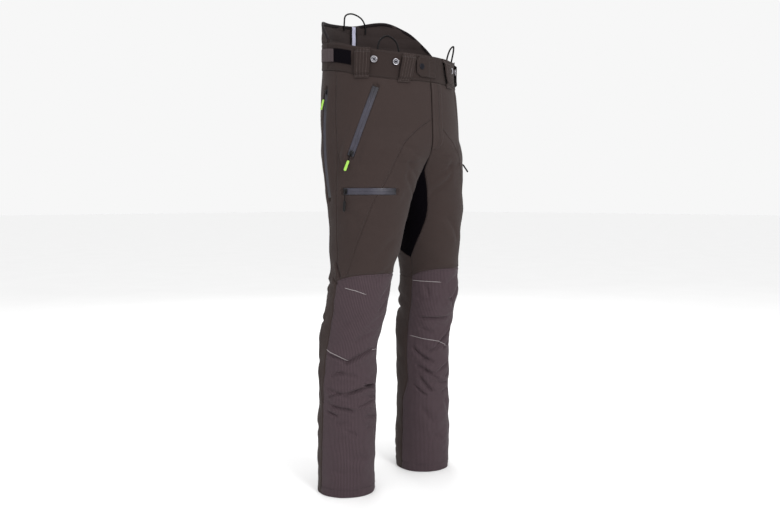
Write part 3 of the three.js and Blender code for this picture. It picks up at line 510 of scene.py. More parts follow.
def cloth(side, angle, height):
    """Points of the cloth's outer face and its directions out, for arrays of angles and heights."""
    angle, height = np.broadcast_arrays(np.asarray(angle, float), np.asarray(height, float))
    points = leg_point(side, angle, height)
    normals = outward(leg_point, side, angle, height)
    wrapped = (angle + 180) % 360 - 180
    edge = band_lower(np.clip(wrapped, -90, 90))
    calm = ease((edge - height) / 0.05)
    from_middle = np.abs(points[..., 0])
    calm = calm * np.where(height > INSIDE_LEG - 0.02, ease(from_middle / 0.05), 1)
    fly = (np.abs(from_middle) < 0.075) & (points[..., 1] < 0) & (height > 0.80)
    calm = calm * np.where(fly, ease((from_middle - 0.045) / 0.03), 1)
    relief = calm * (fold_relief(side, angle, height) + wave_relief(side, angle, height))
    relief = np.array(relief)
    relief = zip_settle(side, points, normals, relief)
    moved = points + normals * relief[..., None]
    moved[..., 0] = side * np.maximum(side * moved[..., 0], 0.1 * MM)
    return moved, normals


def cloth_point(side, angle, height, offset=0.0):
    points, normals = cloth(side, angle, height)
    return points + normals * offset


# %% [markdown]
# ## Meshes from grids
# Nearly every soft piece is a sheet with a thickness. One helper takes the outer and the
# inner face as grids of points, closes the four walls, turns the faces outwards and stores a
# UV map in metres, so that every weave has the same scale on every piece.

# %% Grid to mesh
collection = bpy.context.scene.collection


def new_object(name, data, *materials):
    piece = bpy.data.objects.new(name, data)
    collection.objects.link(piece)
    for material in materials:
        data.materials.append(material)
    return piece


def mesh_from(name, points, faces, uv=None, face_materials=None, smooth=True, outwards=False):
    mesh = bpy.data.meshes.new(name)
    mesh.from_pydata(np.asarray(points, float).tolist(), [], [list(map(int, face)) for face in faces])
    if outwards:
        a, b, c = (np.array([points[face[k]] for face in faces]) for k in (0, 1, 2))
        total = np.einsum("ij,ij->i", a, np.cross(b, c)).sum()
        quads = [face for face in faces if len(face) == 4]
        if quads:
            a, c, d = (np.array([points[face[k]] for face in quads]) for k in (0, 2, 3))
            total += np.einsum("ij,ij->i", a, np.cross(c, d)).sum()
        if total < 0:
            mesh.flip_normals()
    if uv is not None:
        layer = mesh.uv_layers.new(name="UVMap")
        corners = np.empty(len(mesh.loops), int)
        mesh.loops.foreach_get("vertex_index", corners)
        layer.data.foreach_set("uv", np.asarray(uv, float)[corners].ravel())
    if face_materials is not None:
        mesh.polygons.foreach_set("material_index", face_materials)
    mesh.polygons.foreach_set("use_smooth", [smooth] * len(mesh.polygons))
    mesh.update()
    return mesh


def sheet_mesh(name, outer, inner, uv):
    """A sheet between two grids of points. Its inner faces take the second material."""
    rows, columns = outer.shape[:2]
    points = np.concatenate([outer.reshape(-1, 3), inner.reshape(-1, 3)])
    index = np.arange(rows * columns).reshape(rows, columns)
    layer = rows * columns
    a, b, c, d = (part.ravel() for part in (index[:-1, :-1], index[:-1, 1:], index[1:, 1:], index[1:, :-1]))
    front = np.stack([a, b, c, d], 1)
    back = np.stack([a, d, c, b], 1) + layer
    edges = [(index[0, :-1], index[0, 1:]), (index[-1, 1:], index[-1, :-1]),
             (index[1:, 0], index[:-1, 0]), (index[:-1, -1], index[1:, -1])]
    walls = np.concatenate([np.stack([end, start, start + layer, end + layer], 1) for start, end in edges])
    faces = np.concatenate([front, walls, back])
    kinds = [0] * (len(front) + len(walls)) + [1] * len(back)
    mapping = np.concatenate([uv.reshape(-1, 2), uv.reshape(-1, 2)])
    return mesh_from(name, points, faces, mapping, kinds, outwards=True)


EDGE_STEPS = np.array([0, 0.5, 1.1, 1.9, 3.0, 4.6]) * MM


def edge_shares(length, spacing):
    """Shares of a length that crowd together at both ends, where the cloth rolls over."""
    inner = max(2, round((length - 2 * EDGE_STEPS[-1]) / spacing))
    middle = np.linspace(EDGE_STEPS[-1], length - EDGE_STEPS[-1], inner + 1)
    places = np.concatenate([EDGE_STEPS[:-1], middle, length - EDGE_STEPS[:-1][::-1]])
    return places / length


def rolled(distance, depth=1.0 * MM):
    """How far a sewn edge drops, and the soft ridge that stands beside it."""
    drop = 1 - ease(distance / (2.4 * MM))
    ridge = np.exp(-((distance - 4.2 * MM) / (1.9 * MM)) ** 2)
    return ridge * 0.35 * MM - depth * drop**1.5

# %% [markdown]
# ## Shader expressions
# A small class wraps a socket, so shader maths reads like Python. One method makes any other
# node. Colours only ever go through Mix nodes, because a Math node would turn them grey.

# %% Node helpers
class Socket:
    def __init__(self, tree, socket):
        self.tree, self.socket = tree, socket

    def maths(self, operation, *others):
        return self.tree.node("ShaderNodeMath", {"operation": operation}, [self, *others])

    def __add__(self, other):
        return self.maths("ADD", other)

    def __mul__(self, other):
        return self.maths("MULTIPLY", other)

    def __sub__(self, other):
        return self.maths("SUBTRACT", other)

    def __rsub__(self, other):
        return self.tree.node("ShaderNodeMath", {"operation": "SUBTRACT"}, [other, self])

    __radd__ = __add__
    __rmul__ = __mul__

    def clamped(self):
        return self.tree.node("ShaderNodeClamp", {}, [self, 0.0, 1.0])


class Tree:
    def __init__(self, name):
        self.material = bpy.data.materials.new(name)
        self.material.use_nodes = True
        self.nodes = self.material.node_tree.nodes
        self.links = self.material.node_tree.links
        self.nodes.clear()

    def node(self, kind, settings=None, inputs=None, output=0):
        made = self.nodes.new(kind)
        for key, value in (settings or {}).items():
            if key == "stops":
                ramp = made.color_ramp
                for i, (place, colour) in enumerate(value):
                    stop = ramp.elements[i] if i < len(ramp.elements) else ramp.elements.new(place)
                    stop.position, stop.color = place, colour
            else:
                setattr(made, key, value)
        pairs = inputs.items() if isinstance(inputs, dict) else enumerate(inputs or [])
        for key, value in pairs:
            if isinstance(value, Socket):
                self.links.new(value.socket, made.inputs[key])
            else:
                made.inputs[key].default_value = value
        return Socket(self, made.outputs[output])

    def coordinates(self, kind="UV"):
        return self.node("ShaderNodeTexCoord", {}, {}, kind)

    def scaled(self, vector, scale, turn=0.0):
        places = {"Vector": vector, "Scale": scale, "Rotation": (0, 0, turn)}
        return self.node("ShaderNodeMapping", {}, places)

    def noise(self, vector, scale, detail=3.0, roughness=0.55):
        return self.node("ShaderNodeTexNoise", {}, {
            "Vector": vector, "Scale": scale, "Detail": detail, "Roughness": roughness}, "Fac")

    def wave(self, vector, scale, axis, distortion=0.0):
        return self.node("ShaderNodeTexWave", {"bands_direction": axis, "wave_profile": "SIN"}, {
            "Vector": vector, "Scale": scale, "Distortion": distortion, "Detail": 1.0}, "Fac")

    def mix(self, factor, first, second):
        made = self.nodes.new("ShaderNodeMix")
        made.data_type = "RGBA"
        for i, value in ((0, factor), (6, first), (7, second)):
            if isinstance(value, Socket):
                self.links.new(value.socket, made.inputs[i])
            else:
                made.inputs[i].default_value = value
        return Socket(self, made.outputs[2])

    def bump(self, height, strength, distance, under=None):
        inputs = {"Height": height, "Strength": strength, "Distance": distance}
        if under is not None:
            inputs["Normal"] = under
        return self.node("ShaderNodeBump", {}, inputs)

    def finish(self, **sockets):
        named = {key.replace("_", " "): value for key, value in sockets.items()}
        surface = self.node("ShaderNodeBsdfPrincipled", {}, named)
        output = self.nodes.new("ShaderNodeOutputMaterial")
        self.links.new(surface.socket, output.inputs["Surface"])
        return self.material


def linear(red, green, blue):
    """A colour from 0 to 255 as a linear one."""
    return tuple((c / 255 / 12.92) if c <= 10 else ((c / 255 + 0.055) / 1.055) ** 2.4
                 for c in (red, green, blue)) + (1,)


def shade(colour, factor):
    return tuple(channel * factor for channel in colour[:3]) + (1,)


# %% [markdown]
# ## Fabrics
# The shell is a stretch softshell: a very fine twill with a dry, slightly mottled face. The
# knees and shins are a coarser rip-resistant cloth with upright ribs and a purplish cast.
# Both share one recipe: two crossed thread waves for the weave, slow noise for uneven dye,
# and a little sheen, because loose fibre ends catch light at grazing angles.

# %% Woven cloths
WAVES_PER_METRE = math.pi / 10  # a wave texture's scale of one makes 10 / pi bands in a metre


def woven(name, colour, warp, weft, turn=0.0, depth=0.25, mottling=0.16, roughness=0.86, sheen=0.05,
          rib=None, fleck=0.0, specular=0.12):
    """A cloth with so many warp and weft threads in a metre, and perhaps bold ribs on top."""
    tree = Tree(name)
    place = tree.coordinates()
    turned_place = tree.scaled(place, (1, 1, 1), turn)
    warp_wave = tree.wave(turned_place, warp * WAVES_PER_METRE, "X", 0.6)
    weft_wave = tree.wave(turned_place, weft * WAVES_PER_METRE, "Y", 0.6)
    weave = warp_wave * 0.5 + weft_wave * 0.5
    cloud = tree.noise(place, 9.0, 4.0)
    fine = tree.noise(place, 900.0, 2.0)
    tone = (cloud * 0.7 + fine * 0.3).clamped()
    base = tree.mix(tone, shade(colour, 1 - mottling), shade(colour, 1 + mottling))
    base = tree.mix(weave * 0.35, base, shade(colour, 0.7))
    height = weave
    if rib is not None:
        ridge = tree.wave(place, rib * WAVES_PER_METRE, "X", 1.0)
        bars = tree.wave(place, 1.6 * rib * WAVES_PER_METRE, "Y", 0.8)
        grid = (ridge * 0.82 + bars * 0.18).clamped()
        valley = tree.mix(0.5, base, shade(colour, 0.35))
        base = tree.mix(grid, valley, shade(colour, 1.75))
        height = height * 0.4 + grid * 0.9
    if fleck:
        sparks = tree.noise(place, 420.0, 1.0)
        base = tree.mix(((sparks - 0.62) * 6.0).clamped() * fleck, base, shade(colour, 2.2))
    rough = cloud * 0.1 + (roughness - 0.05)
    grain = tree.bump(height, depth, 0.0004)
    crumple = tree.bump(tree.noise(place, 60.0, 3.0), 0.10, 0.004, grain)
    return tree.finish(Base_Color=base, Roughness=rough, Normal=crumple, Sheen_Weight=sheen,
                       Sheen_Roughness=0.5, Specular_IOR_Level=specular)


SHELL = woven("shell_cloth", linear(56, 46, 44), 2400, 1800, 0.6)
REINFORCED = woven("reinforced_cloth", linear(61, 50, 54), 900, 700, 0.0, depth=0.6, rib=240, roughness=0.8,
                   fleck=0.3)
GUSSET = woven("gusset_cloth", linear(7, 5, 8), 1600, 1600, 0.8, mottling=0.2, roughness=0.95, sheen=0.0,
               specular=0.03)
BAND = woven("waistband_cloth", linear(48, 39, 37), 2400, 1800, 0.6)
BINDING = woven("binding_tape", linear(26, 20, 22), 1300, 500, 0.0, depth=0.4)
LINING = woven("lining_mesh", linear(52, 44, 43), 700, 700, 0.785, depth=0.5, roughness=0.92, sheen=0.05)
WEBBING = woven("webbing", linear(76, 66, 68), 900, 380, 0.0, depth=0.6, roughness=0.8)
PAD_COVER = woven("saw_pad_cover", linear(206, 190, 96), 500, 500, 0.0, depth=0.4, roughness=0.93)
NECK_TAPE = woven("centre_back_tape", linear(186, 186, 208), 1500, 700, 0.0, depth=0.4, roughness=0.7)

# %% [markdown]
# ## Coatings, plastics, rubber and metal
# The zip tape is coated cloth: smooth, blue-grey and half glossy, so its highlight is broad.
# Moulded pulls are matt plastic with a fine grain and paler worn edges, and the buttons are
# nickel with small scratches.

# %% Smooth finishes
def moulded(name, colour, roughness=0.45, grain=0.15, wear=0.25, specular=0.5):
    tree = Tree(name)
    place = tree.coordinates("Object")
    cloud = tree.noise(place, 60.0, 3.0)
    pitted = tree.noise(place, 2600.0, 2.0)
    scuffs = tree.noise(tree.scaled(place, (1, 1, 5)), 240.0, 4.0, 0.7)
    worn = ((scuffs - 0.58) * 7.0).clamped()
    base = tree.mix(worn * wear, tree.mix(cloud, shade(colour, 0.85), shade(colour, 1.15)),
                    shade(colour, 1.7))
    rough = (worn * 0.25 + cloud * 0.12 + (roughness - 0.06)).clamped()
    normal = tree.bump(pitted, grain, 0.0002)
    return tree.finish(Base_Color=base, Roughness=rough, Normal=normal, Specular_IOR_Level=specular)


def plated(name, colour, roughness=0.22):
    tree = Tree(name)
    place = tree.coordinates("Object")
    scratches = tree.noise(tree.scaled(place, (1, 1, 9), 0.5), 700.0, 5.0, 0.75)
    cloud = tree.noise(place, 90.0, 2.0)
    base = tree.mix(cloud, shade(colour, 0.86), shade(colour, 1.05))
    rough = (scratches * 0.28 + (roughness - 0.08)).clamped()
    normal = tree.bump(scratches, 0.06, 0.0002)
    return tree.finish(Base_Color=base, Roughness=rough, Metallic=0.95, Normal=normal)


def coated_tape():
    """Its second map coordinate runs from 0 to 1 along the zip. Towards both ends the tape is painted darker,
    as painted shade where it goes in under the cloth.
    """
    tree = Tree("coated_zip_tape")
    place = tree.coordinates()
    threads = tree.wave(tree.coordinates("Object"), 1500 * WAVES_PER_METRE, "Z", 0.4)
    cloud = tree.noise(tree.coordinates("Object"), 70.0, 4.0)
    along = tree.node("ShaderNodeSeparateXYZ", {}, [place], "Y")
    # Painted shade: the ramp is white at both ends, so the tape is painted towards near-black over its first
    # tenth and its last 28 percent.
    end_shade_stops = ((0.0, (1, 1, 1, 1)), (0.10, (0, 0, 0, 1)), (0.72, (0, 0, 0, 1)), (1.0, (1, 1, 1, 1)))
    painted_end_shade = tree.node("ShaderNodeValToRGB", {"stops": end_shade_stops}, [along], "Color")
    face = tree.mix(cloud, linear(38, 36, 45), linear(58, 56, 70))
    base = tree.mix(painted_end_shade * 0.75, face, linear(12, 10, 15))
    rough = (cloud * 0.22 + 0.30).clamped()
    normal = tree.bump(threads, 0.12, 0.0002)
    return tree.finish(Base_Color=base, Roughness=rough, Normal=normal, Specular_IOR_Level=0.5)


def braided(name, colour, twist=600):
    """A cord's sleeve: one set of diagonal strands and a fine noise, in the cord's object space."""
    tree = Tree(name)
    place = tree.coordinates("Object")
    one = tree.wave(place, twist * WAVES_PER_METRE, "DIAGONAL")
    strands = tree.noise(place, 1300.0, 2.0)
    base = tree.mix(one * 0.6 + strands * 0.4, shade(colour, 0.6), shade(colour, 1.6))
    normal = tree.bump(one * 0.7 + strands * 0.3, 0.5, 0.0004)
    rough = strands * 0.1 + 0.72
    return tree.finish(Base_Color=base, Roughness=rough, Normal=normal, Specular_IOR_Level=0.15)


def pile():
    tree = Tree("hook_and_loop")
    place = tree.coordinates()
    hooks = tree.node("ShaderNodeTexVoronoi", {"feature": "F1"},
                      {"Vector": place, "Scale": 780.0}, "Distance")
    fuzz = tree.noise(place, 500.0, 4.0, 0.7)
    base = tree.mix(fuzz, linear(3, 2, 5), linear(14, 11, 16))
    normal = tree.bump(hooks * 0.7 + fuzz * 0.3, 0.8, 0.0008)
    rough = fuzz * 0.1 + 0.88
    return tree.finish(Base_Color=base, Roughness=rough, Normal=normal, Specular_IOR_Level=0.05)


def thread(name, colour):
    tree = Tree(name)
    place = tree.coordinates("Object")
    strands = tree.noise(place, 1800.0, 2.0)
    base = tree.mix(strands, shade(colour, 0.75), shade(colour, 1.25))
    rough = strands * 0.2 + 0.6
    return tree.finish(Base_Color=base, Roughness=rough, Sheen_Weight=0.1)


TAPE = coated_tape()
BLACK = moulded("black_moulding", linear(12, 11, 13), wear=0.15, specular=0.25)
LIME = moulded("lime_moulding", linear(150, 200, 76), 0.42, wear=0.08)
STEEL = plated("nickel", linear(206, 204, 210), 0.3)
DARK_STEEL = plated("dark_metal", linear(40, 40, 46), 0.4)
ELASTIC = braided("elastic_sleeve", linear(15, 13, 14))
HOOKS = pile()
SEAM_THREAD = thread("seam_thread", linear(40, 33, 33))
PALE_THREAD = thread("pale_thread", linear(96, 84, 82))
REFLECTIVE = moulded("reflective_piping", linear(150, 143, 144), 0.35, grain=0.4, wear=0.5)
print("materials:", len(bpy.data.materials))

# %% [markdown]
# ## Elastic hanging loops
# Three short cords are sewn into the waist: one in the middle of the guard, which holds a
# coat hook, and one inside each front, for braces. They are free cords that go back into the
# cloth at both ends. The shape is an arch that its own stiffness holds up.

# %% Elastic loops
ELASTIC_DIAMETER = 4.0 * MM


def catmull(points, steps):
    """A smooth line through points, evenly sampled by length."""
    points = np.asarray(points, float)
    points = np.concatenate([[2 * points[0] - points[1]], points, [2 * points[-1] - points[-2]]])
    dense = []
    for p0, p1, p2, p3 in zip(points[:-3], points[1:-2], points[2:-1], points[3:]):
        t = np.linspace(0, 1, 30, endpoint=False)[:, None]
        gap1, gap2, gap3 = (max(1e-9, np.linalg.norm(b - a)) ** 0.5
                            for a, b in ((p0, p1), (p1, p2), (p2, p3)))
        m1 = gap2 * ((p1 - p0) / gap1 - (p2 - p0) / (gap1 + gap2) + (p2 - p1) / gap2)
        m2 = gap2 * ((p2 - p1) / gap2 - (p3 - p1) / (gap2 + gap3) + (p3 - p2) / gap3)
        dense.append((2 * t**3 - 3 * t**2 + 1) * p1 + (t**3 - 2 * t**2 + t) * m1
                     + (3 * t**2 - 2 * t**3) * p2 + (t**3 - t**2) * m2)
    dense = np.concatenate(dense + [points[-2:-1]])
    run = np.concatenate([[0], np.cumsum(np.linalg.norm(np.diff(dense, axis=0), axis=1))])
    at = np.linspace(0, run[-1], steps)
    return np.stack([np.interp(at, run, dense[:, k]) for k in range(3)], 1), float(run[-1])


def elastic_loop(name, side, angle, half_span, rim, rise, lean, inside):
    seat = inside - 1.2 * MM - ELASTIC_DIAMETER / 2
    route = [(-1, -0.016, 0), (-1, 0.002, 0), (-0.75, 0.7 * rise, 0.6 * lean), (0, rise, lean),
             (0.75, 0.7 * rise, 0.6 * lean), (1, 0.002, 0), (1, -0.016, 0)]
    corners = [waist_point(side, angle + half_span * share, rim + above, seat + out)
               for share, above, out in route]
    points, length = catmull(corners, 40)
    line = bpy.data.curves.new(name, "CURVE")
    line.dimensions = "3D"
    line.bevel_depth = ELASTIC_DIAMETER / 2
    line.bevel_resolution = 4
    line.use_fill_caps = True
    spline = line.splines.new("POLY")
    spline.points.add(len(points) - 1)
    for place, point in zip(spline.points, points):
        place.co = (*point, 1)
    piece = new_object(name + "_cord", line, ELASTIC)
    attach(piece, BODY)
    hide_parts(name)
    print("%s %.3f m" % (name, length))


BAND_OUT = 1.2 * MM
BAND_IN = -2.0 * MM
GUARD_IN = -3.4 * MM
elastic_loop("elastic_loop_back", 1, 90, 12, float(guard_top(90)), 0.032, 0.006, GUARD_IN)
elastic_loop("elastic_loop_front_right", -1, -53, 9, float(band_upper(-53)), 0.038, -0.016, BAND_IN)
elastic_loop("elastic_loop_front_left", 1, -53, 9, float(band_upper(-53)), 0.038, 0.009, BAND_IN)

# %% [markdown]
# ## Cloth panels
# Seven panels make each side: outer and inner front, side strip, seat and back, knee and
# shin, calf, and the black gusset. Each is cut between its seams and laid on the cloth
# surface. Along every seam the edge rolls down into the seam and a soft ridge stands beside
# it, as it does where several layers are sewn together.

# %% Panels
PANEL_SPACING = 3.2 * MM
HEM_TURN = 0.019


def panel_grid(first, last, bottom, top, spacing, inset=0.05 * MM):
    """Angles and heights of a panel's grid, and each point's distance from the nearest seam."""
    shares = np.linspace(0, 1, 9)

    def edge_height(share, edge):
        height = edge(np.full_like(share, -90.0))
        for _ in range(12):
            height = edge(first(height) + (last(height) - first(height)) * share)
        return height

    low, high = edge_height(shares, bottom), edge_height(shares, top)
    tall = float(np.max(high - low))
    heights = low.mean() + (high.mean() - low.mean()) * np.linspace(0.05, 0.95, 12)
    wide = float(np.max(np.radians(last(heights) - first(heights)) * section(heights)[2]))
    u = edge_shares(wide, spacing)
    v = edge_shares(tall, spacing)[:, None]
    low, high = edge_height(u, bottom) + inset, edge_height(u, top) - inset
    height = low + (high - low) * v
    radius = section(height)[2]
    margin = np.degrees(inset / radius)
    start, stop = first(height) + margin, last(height) - margin
    angle = start + (stop - start) * u
    across = np.radians(stop - start) * radius
    distance = np.minimum(np.minimum(u, 1 - u) * across, np.minimum(height - low, high - height))
    return angle, height, np.maximum(distance, 0), height - low


def cloth_panel(name, side, first, last, bottom, top, material,
                spacing=PANEL_SPACING, floor=False):
    angle, height, distance, above = panel_grid(first, last, bottom, top, spacing)
    points, normals = cloth(side, angle, height)
    lift = rolled(distance)
    thickness = np.full_like(height, CLOTH)
    if floor:
        side_distance = np.where(above < 0.012, np.maximum(distance, 2.0 * MM), distance)
        fold = np.exp(-((above - HEM_TURN) / (1.1 * MM)) ** 2) * 0.8 * MM
        turned_up = ease((HEM_TURN - above) / (2 * MM)) * 0.5 * MM
        lift = np.where(above < 0.012, rolled(side_distance) * 0.6, lift) - fold + turned_up
        thickness = thickness + turned_up * 2
    outer = points + normals * lift[..., None]
    inner = outer - normals * thickness[..., None]
    outer[..., 2] = np.maximum(outer[..., 2], 0)
    inner[..., 2] = np.maximum(inner[..., 2], 0)
    for grid in (outer, inner):
        grid[..., 0] = side * np.maximum(side * grid[..., 0], 0.05 * MM)
    uv = np.stack([np.radians(angle) * LEG_RADIUS, height], -1)
    piece = new_object(name + "_cloth", sheet_mesh(name, outer, inner, uv), material, LINING)
    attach(piece, BODY)
    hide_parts(name)
    return piece


for word, side in SIDES:
    made = [
        cloth_panel("front_outer_panel_" + word, side,
                    lambda z: np.where(z > DIAGONAL_TOP, -mid_plane_angle(z), diagonal_seam(z)), side_seam,
                    knee_top, lambda a: band_lower(np.maximum(a, -90)), SHELL, 2.6 * MM),
        cloth_panel("front_inner_panel_" + word, side, inner_front, diagonal_seam,
                    knee_top, flat(DIAGONAL_TOP - 0.2 * MM), SHELL),
        cloth_panel("side_panel_" + word, side, side_seam, side_back,
                    flat(SIDE_PANEL_FOOT), band_lower, SHELL, 2.6 * MM),
        cloth_panel("seat_and_back_panel_" + word, side, side_back,
                    lambda z: np.where(z > GUSSET_TOP, mid_plane_angle(z), inner_back(z)),
                    flat(KNEE_BACK_HEIGHT), lambda a: band_lower(np.minimum(a, 90)), SHELL),
        cloth_panel("knee_and_shin_panel_" + word, side, shin_inner, side_seam,
                    flat(0.0), knee_top, REINFORCED, 1.9 * MM, floor=True),
        cloth_panel("calf_panel_" + word, side,
                    lambda z: np.where(z >= SIDE_PANEL_FOOT, side_back(z), side_seam(z)),
                    lambda z: shin_inner(z) + 360, flat(0.0), flat(KNEE_BACK_HEIGHT),
                    SHELL, floor=True),
        cloth_panel("crotch_gusset_" + word, side, lambda z: inner_back(z) - 360, gusset_front,
                    flat(on_thigh(0.12)), crotch_height, GUSSET),
    ]
    print(word, "panels:", sum(len(piece.data.polygons) for piece in made), "faces")

# %% [markdown]
# ## Saw pads
# Inside each front hangs a pad of loose cut-stopping fibre in a yellow cover, quilted in
# diamonds so that the layers stay together. It only shows from above and below, through the
# waist and the hem.

# %% Saw pads
QUILT_PITCH = 0.045
pad_inner = curve((0.060, -164), (KNEE_SEAM_HEIGHT, -160), (on_thigh(0.8), -112), (on_seat(0.2), -72))
pad_outer = curve((0.060, 14), (on_thigh(0.5), 12), (on_thigh(0.85), 4))
for word, side in SIDES:
    angle, height, distance, _ = panel_grid(
        pad_inner, pad_outer, flat(0.060), flat(on_seat(0.35)), 3.2 * MM)
    points, normals = cloth(side, angle, height)
    points = points - normals * 6.8 * MM
    along, around = height / QUILT_PITCH, np.radians(angle) * LEG_RADIUS / QUILT_PITCH
    quilt = (np.abs(np.sin(math.pi * (along + around))) ** 0.5
             * np.abs(np.sin(math.pi * (along - around))) ** 0.5)
    half = (0.6 + 1.5 * quilt) * MM * ease(0.35 + distance / (9 * MM))
    outer, inner = points + normals * half[..., None], points - normals * half[..., None]
    for grid in (outer, inner):
        grid[..., 0] = side * np.maximum(side * grid[..., 0], 0.4 * MM)
    uv = np.stack([np.radians(angle) * LEG_RADIUS, height], -1)
    pad = new_object("saw_pad_%s_quilted" % word, sheet_mesh("saw_pad_" + word, outer, inner, uv),
                     PAD_COVER, PAD_COVER)
    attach(pad, BODY)
    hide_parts("saw_pad_" + word)
    print("saw pad", word, len(pad.data.polygons), "faces")

# %% [markdown]
# ## Waistband and guard
# The band is a firm double layer that stands a little proud of the panels. Behind it rises
# the guard that keeps sawdust and wind off the kidneys: a padded shell with a bound edge, a
# mesh lining, and a pale tape sewn down the middle of the back. Along the band the guard is
# quilted by horizontal rows, which show as soft channels.
# Inside, flat tapes cover the seam under the band and the one between the band and the guard.

# %% Band and guard
def waist_sheet(name, side, first, last, bottom, top, outer_offset, inner_offset,
                spacing=2.6 * MM, soft=0.9 * MM, ripple=0.0):
    """A grid on the waist. Offsets are functions of angle, height and the distance from the edge."""
    walk = [waist_point(side, a, FRONT_RIM) for a in np.linspace(first, last, 60)]
    wide = float(sum(np.linalg.norm(b - a) for a, b in zip(walk[:-1], walk[1:])))
    tall = float(np.max(top(np.linspace(first, last, 9)) - bottom(np.linspace(first, last, 9))))
    u, v = edge_shares(wide, spacing), edge_shares(tall, spacing)[:, None]
    angle = first + (last - first) * u
    low, high = bottom(angle), top(angle)
    height = low + (high - low) * v
    angle = np.broadcast_to(angle, height.shape)
    distance = np.minimum(np.minimum(u, 1 - u) * wide, np.minimum(height - low, high - height))
    normals = outward(waist_point, side, angle, height)
    roll = 1 - ease(distance / (2.2 * MM))
    wobble = ripple * (np.sin(angle / 7.0 + side) * np.cos(height * 90)
                       + 0.6 * np.sin(angle / 3.1 + 2.0 * side))
    out = outer_offset(angle, height, distance) - roll * soft + wobble
    into = inner_offset(angle, height, distance) + roll * soft * 0.8 + wobble
    base = waist_point(side, angle, height)
    uv = np.stack([np.radians(angle) * WAIST_RADIUS, height], -1)
    return sheet_mesh(name, base + normals * out[..., None], base + normals * into[..., None], uv)


def fixed(value):
    return lambda angle, height, distance: np.full_like(height, value)


def add_waist_piece(name, node, mesh, materials, body=BODY):
    piece = new_object(name, mesh, *materials)
    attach(piece, body)
    if node:
        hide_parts(node)
    return piece


def band_face(angle, height, distance):
    ridge = np.exp(-((distance - 5 * MM) / (2.4 * MM)) ** 2) * 0.35 * MM
    return BAND_OUT + ridge


for word, side in SIDES:
    mesh = waist_sheet("waistband_front_" + word, side, -89.95, 7.95,
                       lambda a: band_lower(a) + 0.1 * MM, band_upper,
                       band_face, fixed(BAND_IN), ripple=0.25 * MM)
    add_waist_piece("waistband_front_%s_cloth" % word, "waistband_front_" + word, mesh, (BAND, LINING))
mesh = waist_sheet("waistband_back", 1, 8.05, 171.95,
                   lambda a: mirrored(band_lower)(a) + 0.1 * MM, mirrored(band_upper),
                   band_face, fixed(BAND_IN), ripple=0.4 * MM)
add_waist_piece("waistband_back_cloth", "waistband_back", mesh, (BAND, LINING))


GUARD_ROW = 27 * MM


def guard_channels(angle, height):
    above = height - mirrored(band_upper)(angle)
    return np.abs(np.sin(math.pi * above / GUARD_ROW)) ** 0.6


def guard_outside(angle, height, distance):
    return 0.4 * MM + 1.3 * MM * guard_channels(angle, height)


def guard_inside(angle, height, distance):
    return GUARD_IN + 1.0 * MM - 1.1 * MM * guard_channels(angle, height)


guard_mesh = waist_sheet("back_guard", 1, 8.05, 171.95, lambda a: mirrored(band_upper)(a) + 0.15 * MM,
                         lambda a: guard_rim(a) - 1.2 * MM, guard_outside, guard_inside, ripple=0.7 * MM)
guard = add_waist_piece("back_guard_padded", "back_guard", guard_mesh, (BAND, LINING))
print("guard", len(guard.data.polygons), "faces")


def swept(name, rings, closed_ends=True, share_map=False):
    """A closed tube through rings of points. Its map is in metres, or a share of the length along it."""
    rings = np.asarray(rings, float)
    count, size = rings.shape[:2]
    index = np.arange(count * size).reshape(count, size)
    following = np.roll(index, -1, 1)
    faces = np.stack([index[:-1], following[:-1], following[1:], index[1:]], -1).reshape(-1, 4).tolist()
    if closed_ends:
        faces += [index[0, ::-1].tolist(), index[-1].tolist()]
    run = np.concatenate([[0], np.cumsum(np.linalg.norm(np.diff(rings.mean(1), axis=0), axis=1))])
    girth = np.concatenate([[0], np.cumsum(np.linalg.norm(np.diff(rings[0], axis=0), axis=1))])
    if share_map:
        run = run / run[-1]
    uv = np.stack(np.meshgrid(girth, run), -1).reshape(-1, 2)
    triangles = []
    for face in faces:
        if len(face) > 4:
            triangles += [[face[0], face[i], face[i + 1]] for i in range(1, len(face) - 1)]
        else:
            triangles.append(face)
    return mesh_from(name, rings.reshape(-1, 3), triangles, uv, outwards=True)


def edge_tape(name, angles, heights, side, low_out, high_out, drop):
    """A binding folded over an edge: a U-shaped strip along points of the waist."""
    rings = []
    for angle, height in zip(angles, heights):
        normal = outward(waist_point, side, angle, height)
        base = waist_point(side, angle, height)
        profile = [(high_out, -drop), (high_out + 0.35 * MM, -drop * 0.5), (high_out, -0.6 * MM),
                   ((high_out * 2 + low_out) / 3, 0.6 * MM), ((high_out + 2 * low_out) / 3, 0.6 * MM),
                   (low_out, -0.6 * MM), (low_out - 0.35 * MM, -drop * 0.5), (low_out, -drop),
                   ((low_out + high_out) / 2, -drop + 0.4 * MM)]
        rings.append([base + normal * out + np.array([0, 0, rise]) for out, rise in profile])
    return swept(name, rings)


angles = np.linspace(8.2, 171.8, 150)
binding = edge_tape("guard_binding", angles, guard_rim(angles) - 0.4 * MM, 1, GUARD_IN - 0.1 * MM,
                    BAND_OUT + 0.5 * MM, 8 * MM)
add_waist_piece("guard_binding", None, binding, (BINDING,))


SEAM_TAPE_HALF = 7 * MM
SEAM_TAPE_THICK = 0.6 * MM


def seam_tape(name, side, first, last, seam, depth, ripple):
    """A flat tape sewn inside the trousers, over a seam of the waist."""
    mesh = waist_sheet(name, side, first, last, lambda a: seam(a) - SEAM_TAPE_HALF,
                       lambda a: seam(a) + SEAM_TAPE_HALF, fixed(depth), fixed(depth - SEAM_TAPE_THICK),
                       soft=0.2 * MM, ripple=ripple)
    add_waist_piece(name, None, mesh, (LINING, LINING))


